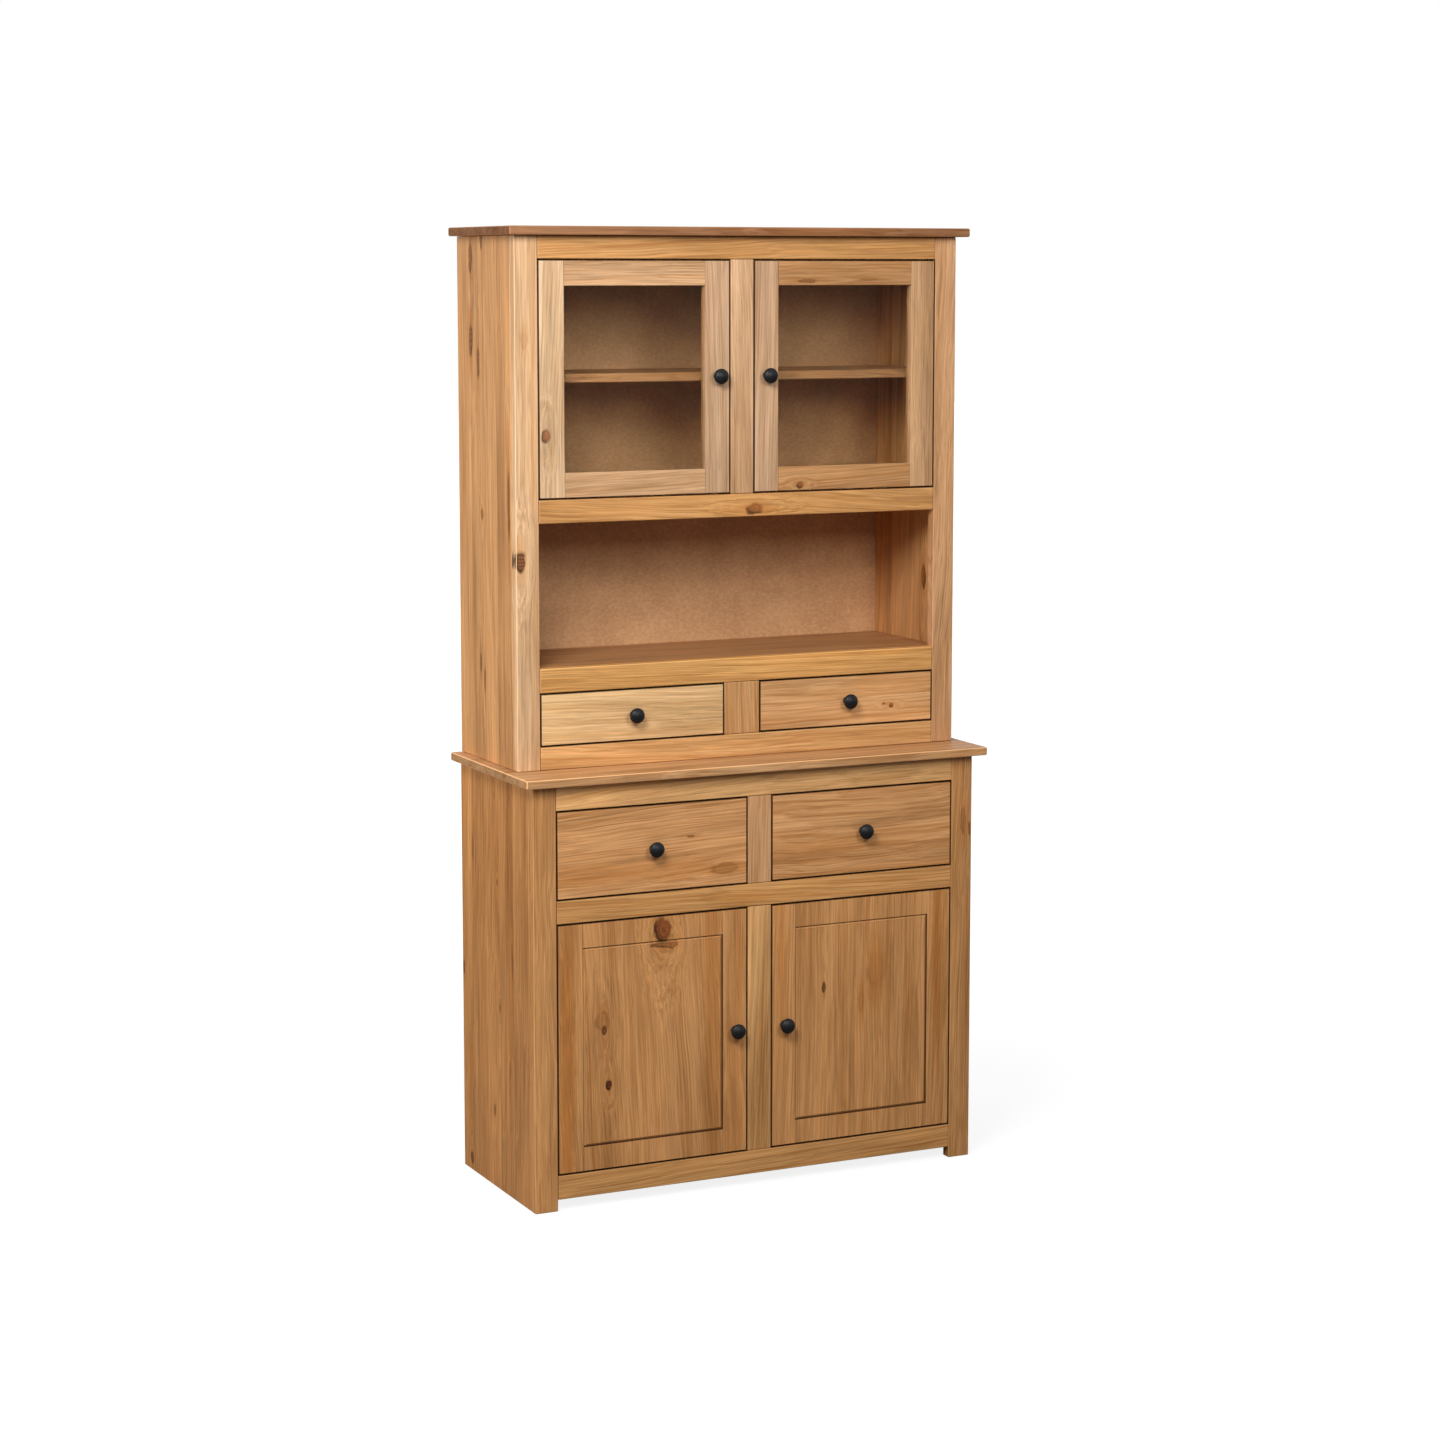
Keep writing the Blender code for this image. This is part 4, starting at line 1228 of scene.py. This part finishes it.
@dataclass
class GlazedDoor(Door):
    """A hutch door: four sticks round a pane, with a bead behind it."""

    stains: tuple[Stain, ...] = ()
    knots: tuple[tuple[str, tuple[Knot, ...]], ...] = ()
    bead_width: float = 0.007
    bead_proud: float = 0.0014
    bead_soft: float = 0.0012
    bead_rest: float = 0.0001

    def build(self) -> None:
        """Makes the sticks, the bead and the fittings."""
        knots = dict(self.knots)
        for index, (name, box) in enumerate(self.sticks().items()):
            self.board(f"_{name}", box, Lie.of_board(name), self.stains[index], self.tree + index,
                       "_frame", radius=self.edge, knots=knots.get(name, ()),
                       gaps=self.gaps(name, box))
        box, light, soft = self.outline(), self.light(), self.bead_soft
        front = self.box("_glass").y.high + self.bead_rest
        back = box.y.high + self.bead_proud - soft
        profile = np.concatenate([[[0.0, front], [self.bead_width, front]],
                                  arc(self.bead_width - soft, back, soft, soft, 0),
                                  arc(soft, back, soft, soft, 1)])
        bead = mitred(light.x.inset(-self.bead_width), light.z.inset(-self.bead_width), profile,
                      caps=False)
        self.add("_bead", bead, self.pine("_bead", box, Lie.UPRIGHT, Stain.HONEY, self.tree + 7))
        self.fittings()

    def dress(self) -> None:
        """Gives the pane its glass."""
        self.finish("_glass", self.shop.glass)


@dataclass
class PanelDoor(Door):
    """A base door: upright boards between two stiles, with a groove round the middle."""

    knots: tuple[Knot, ...] = ()
    groove: float = 0.0038
    sink: float = 0.0036
    tongue_depth: float = 0.0053
    soft: float = 0.0005

    def build(self) -> None:
        """Makes the stiles, the rails, the fielded panel and the fittings."""
        middle = Growth.of_tree(self.tree, self.outline(), Lie.UPRIGHT)
        # Painted shade along the groove round the panel, on the sticks and on the panel.
        light = Gap.round_box(self.light())
        for index, (name, box) in enumerate(self.sticks().items(), 1):
            self.board(f"_{name}", box, Lie.UPRIGHT, Stain.NUT,
                       middle if "rail" in name else self.tree + index, "_frame",
                       radius=self.edge, knots=self.knots, gaps=[*self.gaps(name, box), light])
        panel, soft = self.box("_panel"), self.soft
        edge, tongue = light.x.low - panel.x.low, light.front + self.tongue_depth
        field, back, bank = panel.y.low, panel.y.high, edge + self.groove
        profile = np.array([[bank + 0.0011, field], [bank + soft, field + 0.0001],
                            [bank, field + soft], [edge + 0.0007, field + self.sink],
                            [edge + soft, tongue], [soft, tongue], [0.0, tongue + soft],
                            [0.0, back - soft], [soft, back]])
        material = self.pine("_panel", panel, Lie.UPRIGHT, Stain.NUT, middle, knots=self.knots,
                             gaps=[light])
        self.add("_panel_fielded", mitred(panel.x, panel.z, profile, caps=True), material, "_panel")
        self.fittings()


@dataclass
class Drawer(Part):
    """A drawer: a slab front, two sides, a back, a bottom and a knob."""

    tree: int
    stain: Stain
    knots: tuple[Knot, ...] = ()
    thick: float = 0.012
    bottom: float = 0.004
    bottom_lift: float = 0.004
    back_drop: float = 0.008
    seat: float = 0.0002

    def build(self) -> None:
        """Makes the front, the box and the knob."""
        front, box, bare = self.box("_front"), self.box("_box"), Stain.BARE
        # The slab gets painted shade along the gap round it.
        self.board("_slab", front, Lie.LEVEL, self.stain, self.tree, "_front", knots=self.knots,
                   gaps=[Gap.round_box(front)])
        for index, (word, x) in enumerate((("_left_side", box.x.first(self.thick)),
                                           ("_right_side", box.x.last(self.thick))), 1):
            self.board(word, replace(box, x=x), Lie.DEEP, bare, self.tree + index, "_box",
                       radius=0.0008)
        inner = box.x.inset(self.thick + self.seat)
        back = Box(inner, box.y.last(self.thick), Span(box.z.low, box.z.high - self.back_drop))
        self.board("_back", back, Lie.LEVEL, bare, self.tree + 3, "_box", radius=0.0008)
        low = box.z.low + self.bottom_lift
        bottom = Box(inner, Span(box.y.low, back.y.low - self.seat), Span(low, low + self.bottom))
        self.add("_bottom", rounded_board(bottom, 0.0004, 2), self.shop.fibreboard, "_box")
        self.knob(front.y)


@dataclass
class Catch(Part):
    """A twin magnetic catch: a plastic body, two magnets and two screws."""

    BODY = "cabinet"
    case_depth: float = 0.012
    magnet_width: float = 0.012
    magnet_inset: float = 0.0005
    magnet_lift: float = 0.002
    magnet_sunk: float = 0.001
    screw_x: float = 0.016

    def build(self) -> None:
        """Makes the catch's pieces."""
        box = self.box(self.name)
        case = replace(box, y=box.y.last(self.case_depth))
        self.add("_case", rounded_board(case, 0.0012), self.shop.plastic, self.name)
        magnets = []
        for side in SIDES:
            ends = sorted(side * (box.x.high - inset)
                          for inset in (self.magnet_inset, self.magnet_width))
            magnet = Box(Span(*ends), Span(box.y.low, case.y.low + self.magnet_sunk),
                         box.z.inset(self.magnet_lift))
            magnets.append(rounded_board(magnet, 0.0004, 2))
        self.add("_magnets", Surface.joined(magnets), self.shop.steel)
        places = [(side * self.screw_x, box.y.high, box.z.middle) for side in SIDES]
        self.screws("_screws", places, 0.003, 0.0012)


# Stage


class Lamp(NamedTuple):
    """A square soft lamp."""

    name: str
    place: Triple
    size: float
    watts: float

    def hang(self, target: Triple) -> None:
        """Adds the lamp, turned to face a target."""
        data = bpy.data.lights.new(self.name, "AREA")
        data.energy = self.watts
        data.size = self.size
        lamp = bpy.data.objects.new(self.name, data)
        lamp.location = self.place
        lamp.visible_camera = False
        x, y, z = np.array(target) - np.array(self.place)
        lamp.rotation_euler = (math.atan2(math.hypot(x, y), -z), 0.0, math.atan2(-x, y))
        bpy.context.scene.collection.objects.link(lamp)


@dataclass
class Studio:
    """The floor, the backdrop, the lamps and the camera."""

    place: Triple = (-2.4829, -5.2057, 1.6734)
    turn_deg: Triple = (83.137, 0.0, -25.484)
    lens: float = 78.18
    shift: float = -0.05
    target: Triple = (0.0, 0.0, 1.1)
    world_light: float = 0.16
    floor_grey: float = 0.22
    floor_reach: float = 30.0
    lamps: tuple[Lamp, ...] = (Lamp("front lamp", (0.0, -3.3, 2.45), 1.0, 40.5),
                               Lamp("corner lamp", (-1.6, -1.85, 2.5), 0.9, 54.0),
                               Lamp("side lamp", (-2.1, 0.05, 1.1), 1.0, 15.5))

    def build(self) -> None:
        """Sets the stage."""
        scene = bpy.context.scene
        scene.view_settings.view_transform = "Standard"
        data = bpy.data.cameras.new("camera")
        data.lens = self.lens
        data.sensor_width = 36.0
        data.shift_y = self.shift
        camera = bpy.data.objects.new("camera", data)
        camera.location = self.place
        camera.rotation_euler = [math.radians(angle) for angle in self.turn_deg]
        scene.collection.objects.link(camera)
        scene.camera = camera
        for lamp in self.lamps:
            lamp.hang(self.target)
        self.world()
        self.floor()

    @staticmethod
    def seen(w: Wiring, *kinds: str) -> Wire:
        """1 for rays of some kinds that no matt surface has turned back yet, and else 0."""
        rays = w.outs("LightPath")
        most = None
        for kind in kinds:
            most = w.most(rays[f"Is {kind} Ray"], most)
        return most * w.math("LESS_THAN", rays["Diffuse Depth"], 0.5)

    def world(self) -> None:
        """A grey light all round that the camera, mirrors and glass see as white."""
        world = bpy.data.worlds.new("studio")
        world.use_nodes = True
        bpy.context.scene.world = world
        w = Wiring(world.node_tree)
        back = world.node_tree.nodes["Background"]
        w.feed(back.inputs["Color"], WHITE)
        seen = self.seen(w, "Camera", "Glossy", "Transmission")
        w.feed(back.inputs["Strength"], w.ease(seen, self.world_light, 1.0))

    def floor(self) -> None:
        """A wide pale floor that shows white to the camera and keeps the shadow."""
        mesh = bpy.data.meshes.new("floor")
        far = self.floor_reach
        mesh.from_pydata([(-far, -far, 0), (far, -far, 0), (far, far, 0), (-far, far, 0)], [],
                         [(0, 1, 2, 3)])
        floor = bpy.data.objects.new("floor", mesh)
        floor.location = (0.0, 0.0, -0.0005)
        w = Shader("floor")
        away = w.length(w.add("TexCoord", output="Object") * (1.0, 1.0, 0.0))
        glow = w.rise(away, 0.5, 2.6) * 0.2 + 0.85
        mesh.materials.append(w.give({
            "Base Color": (*[self.floor_grey] * 3, 1.0), "Roughness": 0.9, "Emission Color": WHITE,
            "Emission Strength": self.seen(w, "Camera", "Transmission") * glow}))
        bpy.context.scene.collection.objects.link(floor)


def base_doors(shop: Shop) -> list[PanelDoor]:
    """The two doors of the base."""
    left = (
        Knot(-0.1939, 0.4952, 0.0165, 1.3, 0.95, 0.6), Knot(-0.190, 0.468, 0.012, 0.55, 0.6, 0.6),
        Knot(-0.3086, 0.3231, 0.0048, 1.8, 0.85, 0.5), Knot(-0.314, 0.341, 0.012, 1.2, 0.2, 0.5),
        Knot(-0.3012, 0.2212, 0.0058, 1.5, 0.95, 0.8), Knot(-0.095, 0.30, 0.013, 14.0, 0.0, 0.65),
        Knot(-0.382, 0.25, 0.012, 12.0, 0.0, 0.9), Knot(-0.045, 0.40, 0.007, 9.0, 0.0, 0.6),
        Knot(-0.052, 0.17, 0.013, 7.0, 0.0, 0.5))
    right = (
        Knot(0.1333, 0.3577, 0.0036, 2.6, 0.8, 0.4), Knot(0.2425, 0.379, 0.017, 1.7, 0.1, 0.7),
        Knot(0.2132, 0.322, 0.006, 3.2, 0.15, 0.7), Knot(0.373, 0.40, 0.010, 9.0, 0.0, 0.85),
        Knot(0.045, 0.42, 0.008, 9.0, 0.0, 0.6))
    return [PanelDoor(shop, "base_left_door", -1, 60, knots=left),
            PanelDoor(shop, "base_right_door", 1, 70, knots=right)]


def glazed_doors(shop: Shop) -> list[GlazedDoor]:
    """The two doors of the hutch."""
    left = (("hinge_stile", (Knot(-0.3846, 1.3855, 0.0075, 1.6, 0.8, 0.3),)),)
    right = (("bottom_rail", (Knot(1.2844, 0.1181, 0.0055, 1.1),)),
             ("top_rail", (Knot(1.657, 0.132, 0.0035, 5.0, 0.5),
                           Knot(1.66, 0.26, 0.003, 6.0, 0.2, 0.5))))
    return [GlazedDoor(shop, "glazed_left_door", -1, 80, knots=left,
                       stains=(Stain.BLUSH, Stain.ROSE, Stain.BISCUIT, Stain.BISCUIT)),
            GlazedDoor(shop, "glazed_right_door", 1, 90, knots=right,
                       stains=(Stain.ROSE, Stain.BISCUIT, Stain.SAND, Stain.SAND))]


def drawers(shop: Shop) -> list[Drawer]:
    """The four drawers."""
    return [
        Drawer(shop, "base_left_drawer", 100, Stain.HONEY, (
            Knot(0.6627, -0.138, 0.0018, 4.0, 0.7, 0.3), Knot(0.5985, -0.07, 0.010, 2.6, 0.3, 0.75),
            Knot(0.608, -0.33, 0.016, 6.0, 0.0, 0.6), Knot(0.603, -0.16, 0.008, 5.0, 0.0, 0.5))),
        Drawer(shop, "base_right_drawer", 110, Stain.HONEY, (
            Knot(0.62, 0.12, 0.012, 6.0, 0.0, 0.5),)),
        Drawer(shop, "hutch_left_drawer", 120, Stain.BUTTER),
        Drawer(shop, "hutch_right_drawer", 130, Stain.DUNE, (
            Knot(0.865, 0.3113, 0.0036, 1.2, 0.85), Knot(0.868, 0.296, 0.002, 1.5, 0.6)))]


def main() -> None:
    """Builds the studio and every piece in order."""
    logging.basicConfig(level=logging.INFO, format="%(name)s: %(message)s")
    Studio().build()
    shop = Shop()
    for part in (BaseCarcass(shop), HutchCarcass(shop), *base_doors(shop), *glazed_doors(shop),
                 *drawers(shop), Catch(shop, "base_door_catch"), Catch(shop, "glazed_door_catch")):
        LOG.info("%s", part.name)
        part.build()
        part.dress()
    LOG.info("%d new pieces", shop.count)


if __name__ == "__main__":
    main()
